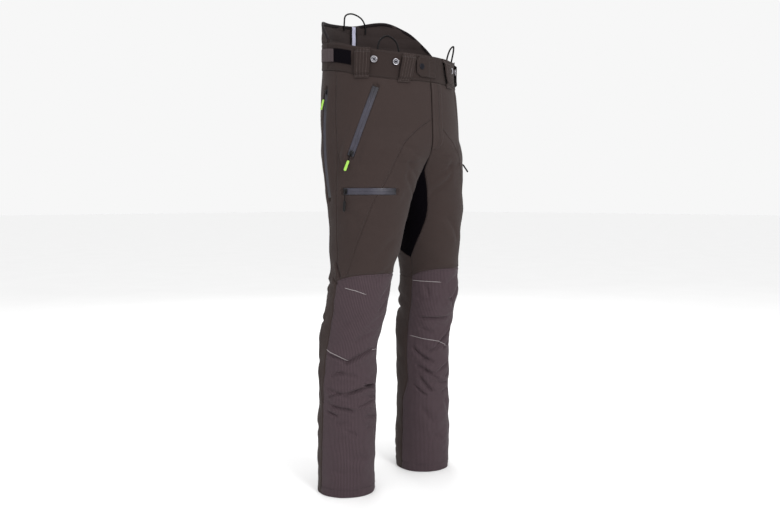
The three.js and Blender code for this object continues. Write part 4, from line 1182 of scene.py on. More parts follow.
for word, side in SIDES:
    seam_tape("waist_seam_tape_front_" + word, side, -89.9, 8, band_lower, -2.5 * MM, 0.25 * MM)
seam_tape("waist_seam_tape_back", 1, 8, 172, mirrored(band_lower), -2.5 * MM, 0.4 * MM)
seam_tape("guard_seam_tape", 1, 8.3, 171.7, mirrored(band_upper), -2.8 * MM, 0.7 * MM)
print("4 seam tapes inside the waist")


def back_tape_mesh(name, half_width, lift):
    """A strip down the inside of the guard, from its rim into the trousers."""
    high, low = float(guard_top(90)) - 2 * MM, float(band_lower(90)) - 0.030
    heights = np.linspace(low, high, 60)
    shares = np.linspace(-1, 1, 9)
    degrees = np.degrees(half_width / 0.19)
    angle = 90 + shares[None] * degrees + 0 * heights[:, None]
    height = heights[:, None] + 0 * angle
    above = height - band_upper(90)
    ridges = 1.1 * MM * np.abs(np.sin(math.pi * above / GUARD_ROW)) ** 0.6 - 1.0 * MM
    channels = np.where(above > 0, ridges, -1.4 * MM)
    seat = GUARD_IN - channels - lift - 0.25 * MM * np.cos(shares * 1.2)[None]
    normals = outward(waist_point, 1, angle, height)
    base = waist_point(1, angle, height)
    uv = np.stack([shares[None] * half_width + 0 * height, height], -1)
    return sheet_mesh(name, base + normals * seat[..., None],
                      base + normals * (seat - 0.7 * MM)[..., None], uv)


add_waist_piece("centre_back_edging", None, back_tape_mesh("centre_back_edging", 12.5 * MM, 0.9 * MM),
                (BINDING, BINDING))
add_waist_piece("centre_back_tape", None, back_tape_mesh("centre_back_tape", 6 * MM, 1.5 * MM),
                (NECK_TAPE, NECK_TAPE))

# %% [markdown]
# ## Fly
# The left front laps over the right. A flap with a curved foot covers the zip, which sits in
# a channel behind the front edges.

# %% Fly
FLY_TOP = float(band_lower(-90)) - 0.001
FLY_BOTTOM = FLY_TOP - FLY_LENGTH
FLY_TAPE_START = 0.018
LAY_GAP = 0.8 * MM


def front_face(x, height, offset):
    centre_x, centre_y, half_width, half_depth = section(height)
    share = (np.abs(x) - centre_x) / (half_width + offset)
    return centre_y - (half_depth + offset) * np.sqrt(1 - share**2)


def fly_edge(height):
    above = np.minimum(1, (height - FLY_BOTTOM) / FLY_WIDTH)
    return 0.003 + (FLY_WIDTH - 0.003) * np.sqrt(1 - (1 - above) ** 2)


u, v = edge_shares(FLY_WIDTH, 2.0 * MM), edge_shares(FLY_LENGTH, 2.5 * MM)[:, None]
height = FLY_BOTTOM + FLY_LENGTH * v + 0 * u
wide = fly_edge(height) + 0.001
x = -0.001 + wide * u
distance = np.minimum(np.minimum(u, 1 - u) * wide, np.minimum(v, 1 - v) * FLY_LENGTH)
lift = LAY_GAP + 1.1 * MM + rolled(distance, 0.8 * MM)
curl = 1.4 * MM * (1 - ease(u * wide / (7 * MM)))
outer = np.stack([x, front_face(x, height, lift + curl), height], -1)
inner = np.stack([x, front_face(x, height, lift + curl - 1.1 * MM), height], -1)
uv = np.stack([x, height], -1)
fly = new_object("fly_flap_cloth", sheet_mesh("fly_flap", outer, inner, uv), SHELL, SHELL)
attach(fly, BODY)
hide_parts("fly_flap")

FLY_PLANE = float(np.min(front_face(0.0, np.array([FLY_BOTTOM, FLY_TOP]), 0.0))) + 0.011
half = 0.015
outline = [(-half - 4 * MM, 0), (-half, 0), (-half, 1), (-2.2 * MM, 1), (-0.3 * MM, 0.7), (0.3 * MM, 0.7),
           (2.2 * MM, 1), (half, 1), (half, 0), (half + 4 * MM, 0), (half + 4 * MM, 2), (-half - 4 * MM, 2)]
rings = []
for height in np.linspace(FLY_BOTTOM + FLY_TAPE_START, FLY_TOP, 60):
    rings.append([(x, float(front_face(x, height, -2.6 * MM - 0.2 * MM)) if depth == 0
                   else FLY_PLANE + (depth - 1) * MM, height) for x, depth in outline])
fly_tape = new_object("fly_zip_tape_cloth", swept("fly_zip_tape", rings), WEBBING)
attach(fly_tape, BODY)
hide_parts("fly_zip_tape")
print("fly from %.3f to %.3f m" % (FLY_BOTTOM, FLY_TOP))

# %% [markdown]
# ## Belt loops, tab, straps and patches
# The belt loops are wide, ribbed by rows of stitching, and sewn down flat at both ends with
# room for a belt between. The waist tab closes the band with a snap. The adjuster strap grips
# the black patch beside it.

# %% Loops and straps
LOOP_WIDTH = 34 * MM
LOOP_STANDOFF = 6 * MM
LOOP_FOOT = 8 * MM
LOOP_PLACES = (("front", -67.5, 5), ("hip", -31, 1), ("back", 66, 0))


def loop_arch(above, tall):
    """0 where the webbing is sewn down at its feet, 1 where it stands off the band."""
    foot, rise = LOOP_FOOT - 1 * MM, 5 * MM
    return ease((above - foot) / rise) * ease((tall - above - foot) / rise)


loop_ends = []
for word, side in SIDES:
    for place, middle, slant in LOOP_PLACES:
        _, _, half_width, half_depth = section(FRONT_RIM)
        turn = math.radians(middle)
        reach = math.hypot(half_width * math.sin(turn), half_depth * math.cos(turn))
        half_angle = math.degrees(LOOP_WIDTH / 2 / reach)
        low, high = float(band_lower(middle)) - 7 * MM, float(band_upper(middle)) - 0.5 * MM
        tall = high - low
        u, v = edge_shares(LOOP_WIDTH, 1.1 * MM), edge_shares(tall, 1.4 * MM)[:, None]
        above = tall * v + 0 * u
        angle = middle + half_angle * (2 * u - 1) * (1 + 0.05 * (2 * v - 1)) + slant * (0.5 - v)
        arch = loop_arch(above, tall)
        sag = 0.8 * MM * np.sin(math.pi * v) * (2 * u - 1) ** 2
        distance = np.minimum(np.minimum(u, 1 - u) * LOOP_WIDTH, np.minimum(v, 1 - v) * tall)
        ribs = 0.28 * MM * np.abs(np.sin(math.pi * u * 5)) ** 0.5
        edge = 0.6 * MM * (1 - ease(distance / (1.6 * MM)))
        seat = BAND_OUT + 0.5 * MM + LOOP_STANDOFF * arch - sag
        base = waist_point(side, angle, low + above)
        normals = outward(waist_point, side, angle, low + above)
        outer = base + normals * (seat + 1.5 * MM + ribs - edge)[..., None]
        inner = base + normals * (seat + edge * 0.5)[..., None]
        uv = np.stack([u * LOOP_WIDTH + 0 * v, above], -1)
        node = "belt_loop_%s_%s" % (place, word)
        add_waist_piece(node + "_webbing", node, sheet_mesh(node, outer, inner, uv), (BAND, BAND))
        for share in (0.035, 0.085, 0.915, 0.965):
            line = waist_point(side, middle + half_angle * np.linspace(-0.9, 0.9, 12) + slant * (0.5 - share),
                               low + tall * share)
            out = outward(waist_point, side, middle, low)
            loop_ends.append(line + out * (BAND_OUT + 2.15 * MM))
        for rib in (1, 2, 3, 4):
            at = np.linspace(0.06, 0.94, 40)
            here = middle + half_angle * (2 * rib / 5 - 1) * (1 + 0.05 * (2 * at - 1)) + slant * (0.5 - at)
            dip = 0.8 * MM * np.sin(math.pi * at) * (2 * rib / 5 - 1) ** 2
            lift = BAND_OUT + 2.05 * MM + LOOP_STANDOFF * loop_arch(tall * at, tall) - dip
            normals = outward(waist_point, side, here, low + tall * at)
            loop_ends.append(waist_point(side, here, low + tall * at) + normals * lift[:, None])
print("belt loops:", 2 * len(LOOP_PLACES))

TAB_ROOT, TAB_TIP = -85, -104
TAB_CORNER = 3.2
TAB_LOW = FRONT_RIM - 0.051
TAB_HEIGHT = 0.048
TAB_CLOTH = 2.4 * MM
SNAP_ANGLE = -99.5
SNAP_HEIGHT = TAB_LOW + TAB_HEIGHT / 2


def tab_seat(angle):
    return BAND_OUT + 0.4 * MM + 1.4 * MM * np.clip((-91 - angle) / 2, 0, 1)


def tab_chamfer(angle):
    return 0.003 * np.maximum(0, TAB_TIP + TAB_CORNER - angle)


def tab_face(angle, height, distance):
    crease = sum(np.exp(-((height - TAB_LOW - share * TAB_HEIGHT) / (1.6 * MM)) ** 2)
                 for share in (0.3, 0.72))
    fade = ease((angle - TAB_TIP - 4) / 4)
    stitched = np.exp(-((distance - 3.2 * MM) / (0.9 * MM)) ** 2) * 0.25 * MM
    return tab_seat(angle) + TAB_CLOTH - 0.5 * MM * crease * fade - stitched


def tab_back(angle, height, distance):
    return tab_seat(angle) + 0.05 * MM


tab_mesh = waist_sheet("waist_tab", 1, TAB_TIP, TAB_ROOT, lambda a: TAB_LOW + tab_chamfer(a),
                       lambda a: TAB_LOW + TAB_HEIGHT - tab_chamfer(a), tab_face, tab_back,
                       1.5 * MM, 0.5 * MM)
add_waist_piece("waist_tab_cloth", "waist_tab", tab_mesh, (BAND, BAND), "waist_tab")

STRAP_WIDTH = 30 * MM


def adjuster_low(angle):
    return (band_lower(angle) + band_upper(angle) - STRAP_WIDTH) / 2 + 0.003


def strap_seat(angle):
    return BAND_OUT + 0.8 * MM + 1.5 * MM * np.clip((6 - angle) / 3, 0, 1)


for word, side in SIDES:
    patch = waist_sheet("adjuster_loop_patch_" + word, side, -21, 2, lambda a: adjuster_low(a) - 1 * MM,
                        lambda a: adjuster_low(a) + STRAP_WIDTH + 1 * MM, fixed(BAND_OUT + 1.9 * MM),
                        fixed(BAND_OUT + 0.5 * MM), 1.6 * MM, 0.5 * MM, 0.1 * MM)
    add_waist_piece("adjuster_loop_patch_%s_pile" % word, "adjuster_loop_patch_" + word, patch,
                    (HOOKS, HOOKS))
    strap = waist_sheet("adjuster_strap_" + word, side, -2, 26, adjuster_low,
                        lambda a: adjuster_low(a) + STRAP_WIDTH,
                        lambda a, z, d: strap_seat(a) + 1.4 * MM + 0.22 * MM * np.sin(z / 0.0008)
                        * ease(d / (2 * MM)), lambda a, z, d: strap_seat(a) + 0.05 * MM, 1.5 * MM, 0.4 * MM)
    add_waist_piece("adjuster_strap_%s_webbing" % word, "adjuster_strap_" + word, strap, (WEBBING, HOOKS),
                    "adjuster_strap_" + word)
print("straps and patches done")

# %% [markdown]
# ## Buttons and snap
# Brace buttons are turned discs on a waisted shank: a bright rolled rim around a dark dished
# centre. All turned parts come from one helper that spins a profile about its own axis.

# %% Turned parts
def turned_part(name, profile, centre, axis, segments=40):
    """A closed turned shape. Profile rows are (radius, distance along the axis)."""
    axis = unit(axis)
    spare = np.array([0, 0, 1.0]) if abs(axis[2]) < 0.9 else np.array([1.0, 0, 0])
    first = unit(np.cross(spare, axis))
    second = np.cross(axis, first)
    turn = np.linspace(0, 2 * math.pi, segments, endpoint=False)
    ring = np.cos(turn)[:, None] * first + np.sin(turn)[:, None] * second
    rings = [np.asarray(centre) + axis * out + ring * radius for radius, out in profile if radius > 0]
    points = np.concatenate([*rings, [np.asarray(centre) + axis * profile[0][1]],
                             [np.asarray(centre) + axis * profile[-1][1]]])
    count = len(rings)
    index = np.arange(count * segments).reshape(count, segments)
    following = np.roll(index, -1, 1)
    faces = np.stack([index[:-1], following[:-1], following[1:], index[1:]], -1).reshape(-1, 4).tolist()
    bottom, top = count * segments, count * segments + 1
    faces += [[bottom, b, a] for a, b in zip(index[0], following[0])]
    faces += [[top, a, b] for a, b in zip(index[-1], following[-1])]
    return mesh_from(name, points, faces, outwards=True)


def on_waist(side, angle, height, offset):
    normal = outward(waist_point, side, angle, height)
    return waist_point(side, angle, height) + normal * offset, normal


RIM_PROFILE = [(0, 0.1), (3.9, 0.1), (4.0, 0.5), (2.7, 1.2), (2.6, 1.7), (6.9, 2.0), (7.4, 2.5),
               (7.5, 3.1), (7.3, 3.7), (6.9, 3.95), (6.5, 3.95), (6.1, 3.6), (5.9, 3.0), (0, 3.0)]
DISH_PROFILE = [(0, 2.8), (5.75, 2.8), (5.85, 3.25), (5.0, 3.1), (3.4, 2.95), (2.2, 3.2), (1.6, 3.5),
                (0.9, 3.7), (0, 3.75)]
for word, side in SIDES:
    for place, angle in (("outer", -41), ("inner", -58.5), ("back", 78)):
        node = "brace_button_%s_%s" % (place, word)
        height = float(band_lower(angle) + band_upper(angle)) / 2 + 8 * MM
        centre, axis = on_waist(side, angle, height, BAND_OUT + 0.3 * MM)
        ring = turned_part(node, [(r * MM, z * MM) for r, z in RIM_PROFILE], centre, axis)
        add_waist_piece(node + "_rim", node, ring, (STEEL,))
        dish = turned_part(node + "_dish", [(r * MM, z * MM) for r, z in DISH_PROFILE], centre, axis)
        add_waist_piece(node + "_dish", None, dish, (DARK_STEEL,))

centre, axis = on_waist(1, SNAP_ANGLE, SNAP_HEIGHT, float(tab_seat(SNAP_ANGLE)) + TAB_CLOTH + 0.1 * MM)
CAP_PROFILE = [(0, -0.3), (6.6, -0.3), (7, 0.3), (6.9, 0.9), (6.3, 1.4), (5.2, 1.6), (4.6, 1.5),
               (4.2, 1.25), (3.4, 1.35), (1.8, 1.6), (0, 1.7)]
cap = turned_part("snap_cap", [(r * MM, z * MM) for r, z in CAP_PROFILE], centre, axis)
add_waist_piece("snap_cap_turned", "snap_cap", cap, (DARK_STEEL,), "waist_tab")
centre, axis = on_waist(1, SNAP_ANGLE, SNAP_HEIGHT, BAND_OUT + 0.1 * MM)
STUD_PROFILE = [(0, 0), (5.4, 0), (5.5, 0.3), (4.2, 0.45), (2.2, 0.5), (2.0, 0.95), (1.6, 1.1), (0, 1.1)]
stud = turned_part("snap_stud", [(r * MM, z * MM) for r, z in STUD_PROFILE], centre, axis)
add_waist_piece("snap_stud_turned", "snap_stud", stud, (STEEL,))
print("six brace buttons and a snap")

# %% [markdown]
# ## Zips
# Water-repellent zips hide their coil behind two coated lips that meet in the middle. The
# slider rides on the lips; its bridge holds a short cord with a moulded grip. Grip, cord and
# slider are each placed in the slider's own frame, so the joints can swing and slide them.

# %% Zips
BRIDGE_HEIGHT = 3.9 * MM
SLIDER_LENGTH = 11 * MM


def strip_along(name, arc, outline, first, last, steps):
    origins, bases = arc.frames(np.linspace(first, last, steps + 1))
    rings = [[origin + basis[0] * x * MM + basis[2] * z * MM for x, z in outline]
             for origin, basis in zip(origins, bases)]
    return swept(name, rings, share_map=True)


LIP_OUTLINE = [(-7.5, -1.1), (7.5, -1.1), (7.5, -0.25), (6.9, -0.02), (4.6, 0.0), (3.9, -0.12),
               (3.2, 0.05), (1.6, 0.22), (0.7, 0.12), (0.16, -0.35), (0, -0.6), (-0.16, -0.35),
               (-0.7, 0.12), (-1.6, 0.22), (-3.2, 0.05), (-3.9, -0.12), (-4.6, 0.0),
               (-6.9, -0.02), (-7.5, -0.25)]


def in_frame(origin, basis, points):
    return np.asarray(origin) + (np.asarray(points, float) * MM) @ np.asarray(basis)


def plate(name, outline, low, high, origin, basis, bevel=0.35):
    """A flat moulded plate with rounded edges, from an outline of (x, y) in millimetres."""
    outline = np.asarray(outline, float)
    shrunk = outline * (1 - bevel / np.abs(outline).max())
    rings = [np.c_[shrunk, np.full(len(outline), low)], np.c_[outline, np.full(len(outline), low + bevel)],
             np.c_[outline, np.full(len(outline), high - bevel)], np.c_[shrunk, np.full(len(outline), high)]]
    return swept(name, [in_frame(origin, basis, ring) for ring in rings])


def join(name, parts, material):
    """One mesh from several closed ones."""
    points, faces, start = [], [], 0
    for mesh in parts:
        points += [vertex.co[:] for vertex in mesh.vertices]
        faces += [[start + i for i in face.vertices] for face in mesh.polygons]
        start += len(mesh.vertices)
        bpy.data.meshes.remove(mesh)
    mesh = mesh_from(name, points, faces)
    return new_object(name, mesh, material)


def tube_along(name, points, radius, segments=10, flatten=1.0):
    """A tube of round section along points, closed with flat caps."""
    points = np.asarray(points, float)
    tangents = unit(np.gradient(points, axis=0))
    spare = np.array([0, 0, 1.0]) if abs(tangents[0][2]) < 0.9 else np.array([1.0, 0, 0])
    first = unit(np.cross(spare, tangents[0]))
    rings = []
    turn = np.linspace(0, 2 * math.pi, segments, endpoint=False)
    radius = np.broadcast_to(radius, len(points))
    for point, tangent, size in zip(points, tangents, radius):
        first = unit(first - tangent * (first @ tangent))
        second = np.cross(tangent, first)
        rings.append(point + size * (np.cos(turn)[:, None] * first
                                     + flatten * np.sin(turn)[:, None] * second))
    return swept(name, rings)


def slider_parts(node, origin, basis, material, body):
    """Slider body in its own frame: X across, Y up the hang, Z out."""
    nose = [(-3.2, 5.5), (-4.1, 3.6), (-4.2, 1.0), (-3.3, -1.6), (-2.9, -4.2), (-2.4, -5.4),
            (2.4, -5.4), (2.9, -4.2), (3.3, -1.6), (4.2, 1.0), (4.1, 3.6), (3.2, 5.5)]
    parts = [plate("top", nose, 0.5, 2.1, origin, basis)]
    arch = [(0, 2.9 * math.cos(t), 2.4 + 2.9 * math.sin(t)) for t in np.linspace(-0.25, math.pi + 0.25, 15)]
    width = 1.5
    rings = []
    for _, y, z in arch:
        radial = np.array([0, y, z - 2.4]) / 2.9
        middle = np.array([0, y, z])
        rings.append(in_frame(origin, basis, [middle + np.array([x, 0, 0]) + radial * r for x, r in (
            (-width, -0.5), (width, -0.5), (width * 1.1, 0), (width, 0.5), (-width, 0.5),
            (-width * 1.1, 0))]))
    parts.append(swept("bridge", rings))
    for x in (-3.0, 3.0):
        rail = [(x - 0.7, -4.6), (x + 0.7, -4.6), (x + 0.7, 4.2), (x - 0.7, 4.2)]
        parts.append(plate("rail", rail, 0.35, 1.0, origin, basis, 0.1))
    piece = join(node + "_cast", parts, material)
    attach(piece, body)
    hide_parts(node)


def puller_parts(node, origin, basis, cord_length, lift, grip, body):
    """The cord loop and its grip, turned up by lift about the pivot."""
    tilt = np.array(Matrix.Rotation(math.radians(-lift), 3, "X"))
    pivot = in_frame(origin, basis, (0, 0, BRIDGE_HEIGHT / MM))
    turned_basis = tilt.T @ basis
    # The two runs of the cord start at the bridge, meet and enter the grip.
    start, end = 3.4, 3.4 + cord_length
    runs = []
    for sign in (-1, 1):
        line = [(sign * (0.75 - 0.2 * share), -(start + (end + 1.5 - start) * share), 0)
                for share in np.linspace(0, 1, 15)]
        runs.append(tube_along("run", in_frame(pivot, turned_basis, line), 0.55 * MM, 8))
    for k in (0.2, 1.3):
        ring = [(1.25 * math.cos(t), -(start + k), 0.85 * math.sin(t))
                for t in np.linspace(0, 2 * math.pi, 15)[:-1]]
        rings = []
        for x, y, z in ring:
            radial = unit(np.array([x, 0, z]))
            strand = [np.array([x, y, z]) + radial * r * 0.4 + np.array([0, h * 0.4, 0])
                      for r, h in ((1, 0), (0, 1), (-1, 0), (0, -1))]
            rings.append(in_frame(pivot, turned_basis, strand))
        rings.append(rings[0])
        runs.append(swept("wrap", rings, closed_ends=False))
    cord = join(node + "_cord", runs, ELASTIC)
    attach(cord, body)
    rings = []
    turn = np.linspace(0, 2 * math.pi, 28, endpoint=False)
    for k in range(49):
        share = k / 48
        along = end + 25 * share
        swell = min(1.0, math.sqrt(max(0.0, 1 - max(0.0, (0.2 - share) / 0.2) ** 2)) * 0.55 + 0.45)
        swell *= math.sqrt(max(0.05, 1 - max(0.0, (share - 0.88) / 0.12) ** 2.2))
        ribs = 0.22 * (0.5 - 0.5 * math.cos(2 * math.pi * 9 * min(1, max(0, (share - 0.28) / 0.56)))) \
            if 0.28 < share < 0.84 else 0.0
        wide, thick = 3.15 * swell - ribs * 0.5, 2.1 * swell - ribs
        flat_turn = [(wide * np.sign(math.cos(t)) * abs(math.cos(t)) ** 0.75,
                      -along, thick * np.sign(math.sin(t)) * abs(math.sin(t)) ** 0.75) for t in turn]
        rings.append(in_frame(pivot, turned_basis, flat_turn))
    moulding = new_object(node + "_grip", swept(node, rings), grip)
    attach(moulding, body)
    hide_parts(node)


# A stop bar lies this far in from the tape's end, in millimetres. The slider's end halts at 1 mm.
STOP_NEAR, STOP_FAR = 0.1, 0.8
HANGS = {"front_pocket_right": (15, 7, LIME), "front_pocket_left": (15, 33, BLACK),
         "vent_right": (15, 7, LIME), "vent_left": (15, 7, LIME), "thigh_pocket_right": (18, 6, BLACK)}
for name, arc in ZIPS.items():
    cord_length, lift, grip = HANGS[name]
    tape = new_object(name + "_zip_tape_coated", strip_along(name, arc, LIP_OUTLINE, 0, 1, 90), TAPE)
    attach(tape, BODY)
    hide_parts(name + "_zip_tape")
    origin, basis = arc.frame_at((SLIDER_LENGTH / 2 + 1 * MM) / arc.length)
    if name.startswith("thigh"):
        basis = np.stack([basis[1], -basis[0], basis[2]])
    if basis[1][2] < 0:
        basis = np.stack([-basis[0], -basis[1], basis[2]])
    slider_parts(name + "_zip_slider", origin, basis, BLACK, name + "_zip_slider")
    puller_parts(name + "_zip_puller", origin, basis, cord_length, lift, grip, name + "_zip_puller")
    for share in (0, 1):
        end_origin, end_basis = arc.frame_at(share)
        inward = 1 if share == 0 else -1
        near, far = inward * STOP_NEAR, inward * STOP_FAR
        bar = [(-3.2, near), (3.2, near), (3.2, far), (-3.2, far)]
        stop = new_object("%s_zip_stop_%d" % (name, share),
                          plate("stop", bar, 0.05, 0.55, end_origin, end_basis, 0.15), BLACK)
        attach(stop, BODY)
fly_basis = np.array([(1, 0, 0), (0, 0, 1), (0, -1, 0)], float)
slider_parts("fly_zip_slider", (0, FLY_PLANE, FLY_TOP - 0.010), fly_basis, STEEL, "fly_zip_slider")
print("zips:", len(ZIPS) + 1)

# %% [markdown]
# ## Piping
# Short reflective cords are let into the knee darts. Each is a thin tube on the cloth whose
# ends thin out into the seam.

# %% Piping
PIPING = {
    -1: [[(-19, 0.496), (-40, 0.490), (-60, 0.481)], [(-1, 0.348), (-25, 0.338), (-48.5, 0.324)],
         [(-101, 0.345), (-118, 0.344)]],
    1: [[(-172, 0.497), (-142, 0.495), (-112, 0.492)], [(-167, 0.353), (-103, 0.338), (-75, 0.320)]],
}


def on_cloth(side, places, spacing=2.5 * MM, offset=0.4 * MM):
    """Points on the cloth along straight runs between (angle, height) places."""
    places = np.asarray(places, float)
    angle, height = [], []
    for start, end in zip(places[:-1], places[1:]):
        radius = float(section((start[1] + end[1]) / 2)[2])
        run = math.hypot(math.radians(end[0] - start[0]) * radius, end[1] - start[1])
        share = np.linspace(0, 1, max(2, round(run / spacing)), endpoint=False)
        angle.append(start[0] + (end[0] - start[0]) * share)
        height.append(start[1] + (end[1] - start[1]) * share)
    angle = np.append(np.concatenate(angle), places[-1, 0])
    height = np.append(np.concatenate(height), places[-1, 1])
    return cloth_point(side, angle, height, offset)


for word, side in SIDES:
    tubes = []
    for places in PIPING[side]:
        line = on_cloth(side, places, 3 * MM, 0.35 * MM)
        share = np.linspace(0, 1, len(line))
        radius = 0.7 * MM * np.clip(np.minimum(share, 1 - share) * 12, 0.15, 1)
        tubes.append(tube_along("piping", line, radius, 8))
    piping = join("knee_piping_" + word, tubes, REFLECTIVE)
    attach(piping, BODY)
print("piping on", len(SIDES), "knees")

# %% [markdown]
# ## Stitches
# A stitch is a short rounded bead of thread. Geometry Nodes lay them: a line is resampled at
# the stitch pitch, a bead is turned along its tangent at each point, and the beads become one
# plain mesh. The same tree makes fine topstitching and the dense bars at the belt loops.

# %% Stitch tree
def stitch_tree():
    tree = bpy.data.node_groups.new("stitch_run", "GeometryNodeTree")
    face = tree.interface
    face.new_socket(name="Lines", in_out="INPUT", socket_type="NodeSocketGeometry")
    for label, value in (("Pitch", 3.2 * MM), ("Length", 2.3 * MM), ("Thickness", 0.55 * MM)):
        socket = face.new_socket(name=label, in_out="INPUT", socket_type="NodeSocketFloat")
        socket.default_value = value
    face.new_socket(name="Thread", in_out="INPUT", socket_type="NodeSocketMaterial")
    face.new_socket(name="Stitches", in_out="OUTPUT", socket_type="NodeSocketGeometry")

    def node(kind, **settings):
        made = tree.nodes.new(kind)
        for key, value in settings.items():
            setattr(made, key, value)
        return made

    source, target = node("NodeGroupInput"), node("NodeGroupOutput")
    to_curve = node("GeometryNodeMeshToCurve")
    resample = node("GeometryNodeResampleCurve", mode="LENGTH")
    bead = node("GeometryNodeMeshUVSphere")
    bead.inputs["Segments"].default_value = 6
    bead.inputs["Rings"].default_value = 4
    bead.inputs["Radius"].default_value = 0.5
    size = node("ShaderNodeCombineXYZ")
    shape = node("GeometryNodeTransform")
    tangent = node("GeometryNodeInputTangent")
    align = node("FunctionNodeAlignRotationToVector", axis="X")
    place = node("GeometryNodeInstanceOnPoints")
    realize = node("GeometryNodeRealizeInstances")
    smooth = node("GeometryNodeSetShadeSmooth")
    paint = node("GeometryNodeSetMaterial")
    for start, end in (
            (source.outputs["Lines"], to_curve.inputs[0]), (to_curve.outputs[0], resample.inputs["Curve"]),
            (source.outputs["Pitch"], resample.inputs["Length"]), (source.outputs["Length"], size.inputs[0]),
            (source.outputs["Thickness"], size.inputs[1]), (source.outputs["Thickness"], size.inputs[2]),
            (bead.outputs["Mesh"], shape.inputs["Geometry"]), (size.outputs[0], shape.inputs["Scale"]),
            (tangent.outputs[0], align.inputs["Vector"]), (resample.outputs[0], place.inputs["Points"]),
            (shape.outputs[0], place.inputs["Instance"]), (align.outputs[0], place.inputs["Rotation"]),
            (place.outputs[0], realize.inputs[0]), (realize.outputs[0], smooth.inputs[0]),
            (smooth.outputs[0], paint.inputs["Geometry"]),
            (source.outputs["Thread"], paint.inputs["Material"]),
            (paint.outputs[0], target.inputs[0])):
        tree.links.new(start, end)
    return tree


STITCH_TREE = stitch_tree()
INPUT_IDS = {item.name: item.identifier for item in STITCH_TREE.interface.items_tree
             if item.in_out == "INPUT"}


def stitches(name, lines, body, thread_material, pitch=3.2 * MM, length=2.3 * MM, thickness=0.55 * MM):
    points, edges = [], []
    for line in lines:
        start = len(points)
        points += np.asarray(line, float).tolist()
        edges += [(start + i, start + i + 1) for i in range(len(line) - 1)]
    mesh = bpy.data.meshes.new(name + "_lines")
    mesh.from_pydata(points, edges, [])
    carrier = new_object(name, mesh)
    modifier = carrier.modifiers.new("stitches", "NODES")
    modifier.node_group = STITCH_TREE
    for label, value in (("Pitch", pitch), ("Length", length), ("Thickness", thickness),
                         ("Thread", thread_material)):
        modifier[INPUT_IDS[label]] = value
    evaluated = carrier.evaluated_get(bpy.context.evaluated_depsgraph_get())
    result = bpy.data.meshes.new_from_object(evaluated)
    carrier.modifiers.remove(modifier)
    carrier.data = result
    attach(carrier, body)
    print("%-24s %6d faces" % (name, len(result.polygons)))
    return carrier


# %% Seam lines
ROW = 4.0 * MM


def beside(side, seam, low, high, sign, offset=0.5 * MM, row=ROW):
    """A line that runs a stitch row's width beside a seam given by height."""
    height = np.linspace(low, high, max(8, round((high - low) / (3 * MM))))
    angle = seam(height) + sign * np.degrees(row / section(height)[2])
    return cloth_point(side, angle, height, offset)


def above_seam(side, edge, first, last, rise, offset=0.5 * MM):
    """A line above or below a seam given by angle."""
    angle = np.linspace(first, last, 110)
    return cloth_point(side, angle, edge(angle) + rise, offset)


for word, side in SIDES:
    rim = lambda angle: float(band_lower(angle)) - 3 * MM
    upper = [
        beside(side, diagonal_seam, KNEE_SEAM_HEIGHT + 2 * MM, DIAGONAL_TOP - 8 * MM, 1),
        beside(side, side_seam, SIDE_PANEL_FOOT + 4 * MM, rim(-4), -1),
        beside(side, side_back, SIDE_PANEL_FOOT + 4 * MM, rim(30), 1),
        above_seam(side, knee_top, -168, -2, ROW), above_seam(side, knee_top, -168, -2, -ROW),
        beside(side, gusset_front, on_thigh(0.14), GUSSET_TOP - 8 * MM, 1),
        beside(side, inner_back, on_thigh(0.14), GUSSET_TOP - 8 * MM, -1),
        beside(side, lambda z: -mid_plane_angle(z), GUSSET_TOP + 4 * MM, FLY_BOTTOM - 2 * MM, 1),
        beside(side, mid_plane_angle, GUSSET_TOP + 4 * MM, rim(90), -1),
        above_seam(side, flat(KNEE_BACK_HEIGHT), 34, 184, ROW),
    ]
    lower = [
        beside(side, shin_inner, 4 * MM, KNEE_SEAM_HEIGHT - 30 * MM, 1),
        beside(side, side_seam, 4 * MM, SIDE_PANEL_FOOT - 10 * MM, -1),
        above_seam(side, flat(HEM_TURN), -180, 180, -1.2 * MM, 0.9 * MM),
    ]
    stitches("seam_stitches_upper_" + word, upper, BODY, SEAM_THREAD)
    stitches("seam_stitches_lower_" + word, lower, BODY, SEAM_THREAD)

shin_rows = {-1: [(-43, 0.210), (-102, 0.206)], 1: [(-160, 0.243), (-110, 0.232), (-62, 0.226)]}
stitches("shin_stitch_rows", [on_cloth(side, shin_rows[side], offset=0.2 * MM) for _, side in SIDES], BODY,
         SEAM_THREAD, 5.5 * MM, 3.4 * MM, 0.9 * MM)

zip_rows = []
for arc in ZIPS.values():
    for edge in (-9.3, 9.3):
        origins, bases = arc.frames(np.linspace(-0.02, 1.02, 60))
        zip_rows.append(origins + bases[:, 0] * edge * MM + bases[:, 2] * 0.55 * MM)
    for share, beyond in ((0, -3 * MM), (1, 3 * MM)):
        origin, basis = arc.frame_at(share)
        zip_rows.append(np.array([origin + basis[0] * x * MM + basis[1] * beyond + basis[2] * 0.55 * MM
                                  for x in np.linspace(-9.3, 9.3, 8)]))
stitches("zip_stitches", zip_rows, BODY, SEAM_THREAD)

band_rows = []
for word, side in SIDES:
    angle = np.linspace(-88, 90, 200)
    for edge in (band_lower(angle) + 3.6 * MM, band_upper(angle) - 3.4 * MM):
        normals = outward(waist_point, side, angle, edge)
        band_rows.append(waist_point(side, angle, edge) + normals * (BAND_OUT + 0.55 * MM))
    patch_angle = np.linspace(-23, 10, 40)
    for edge in (adjuster_low(patch_angle) - 4 * MM, adjuster_low(patch_angle) + STRAP_WIDTH + 4 * MM):
        normals = outward(waist_point, side, patch_angle, edge)
        band_rows.append(waist_point(side, patch_angle, edge) + normals * (BAND_OUT + 0.45 * MM))
stitches("waistband_stitches", band_rows, BODY, SEAM_THREAD)

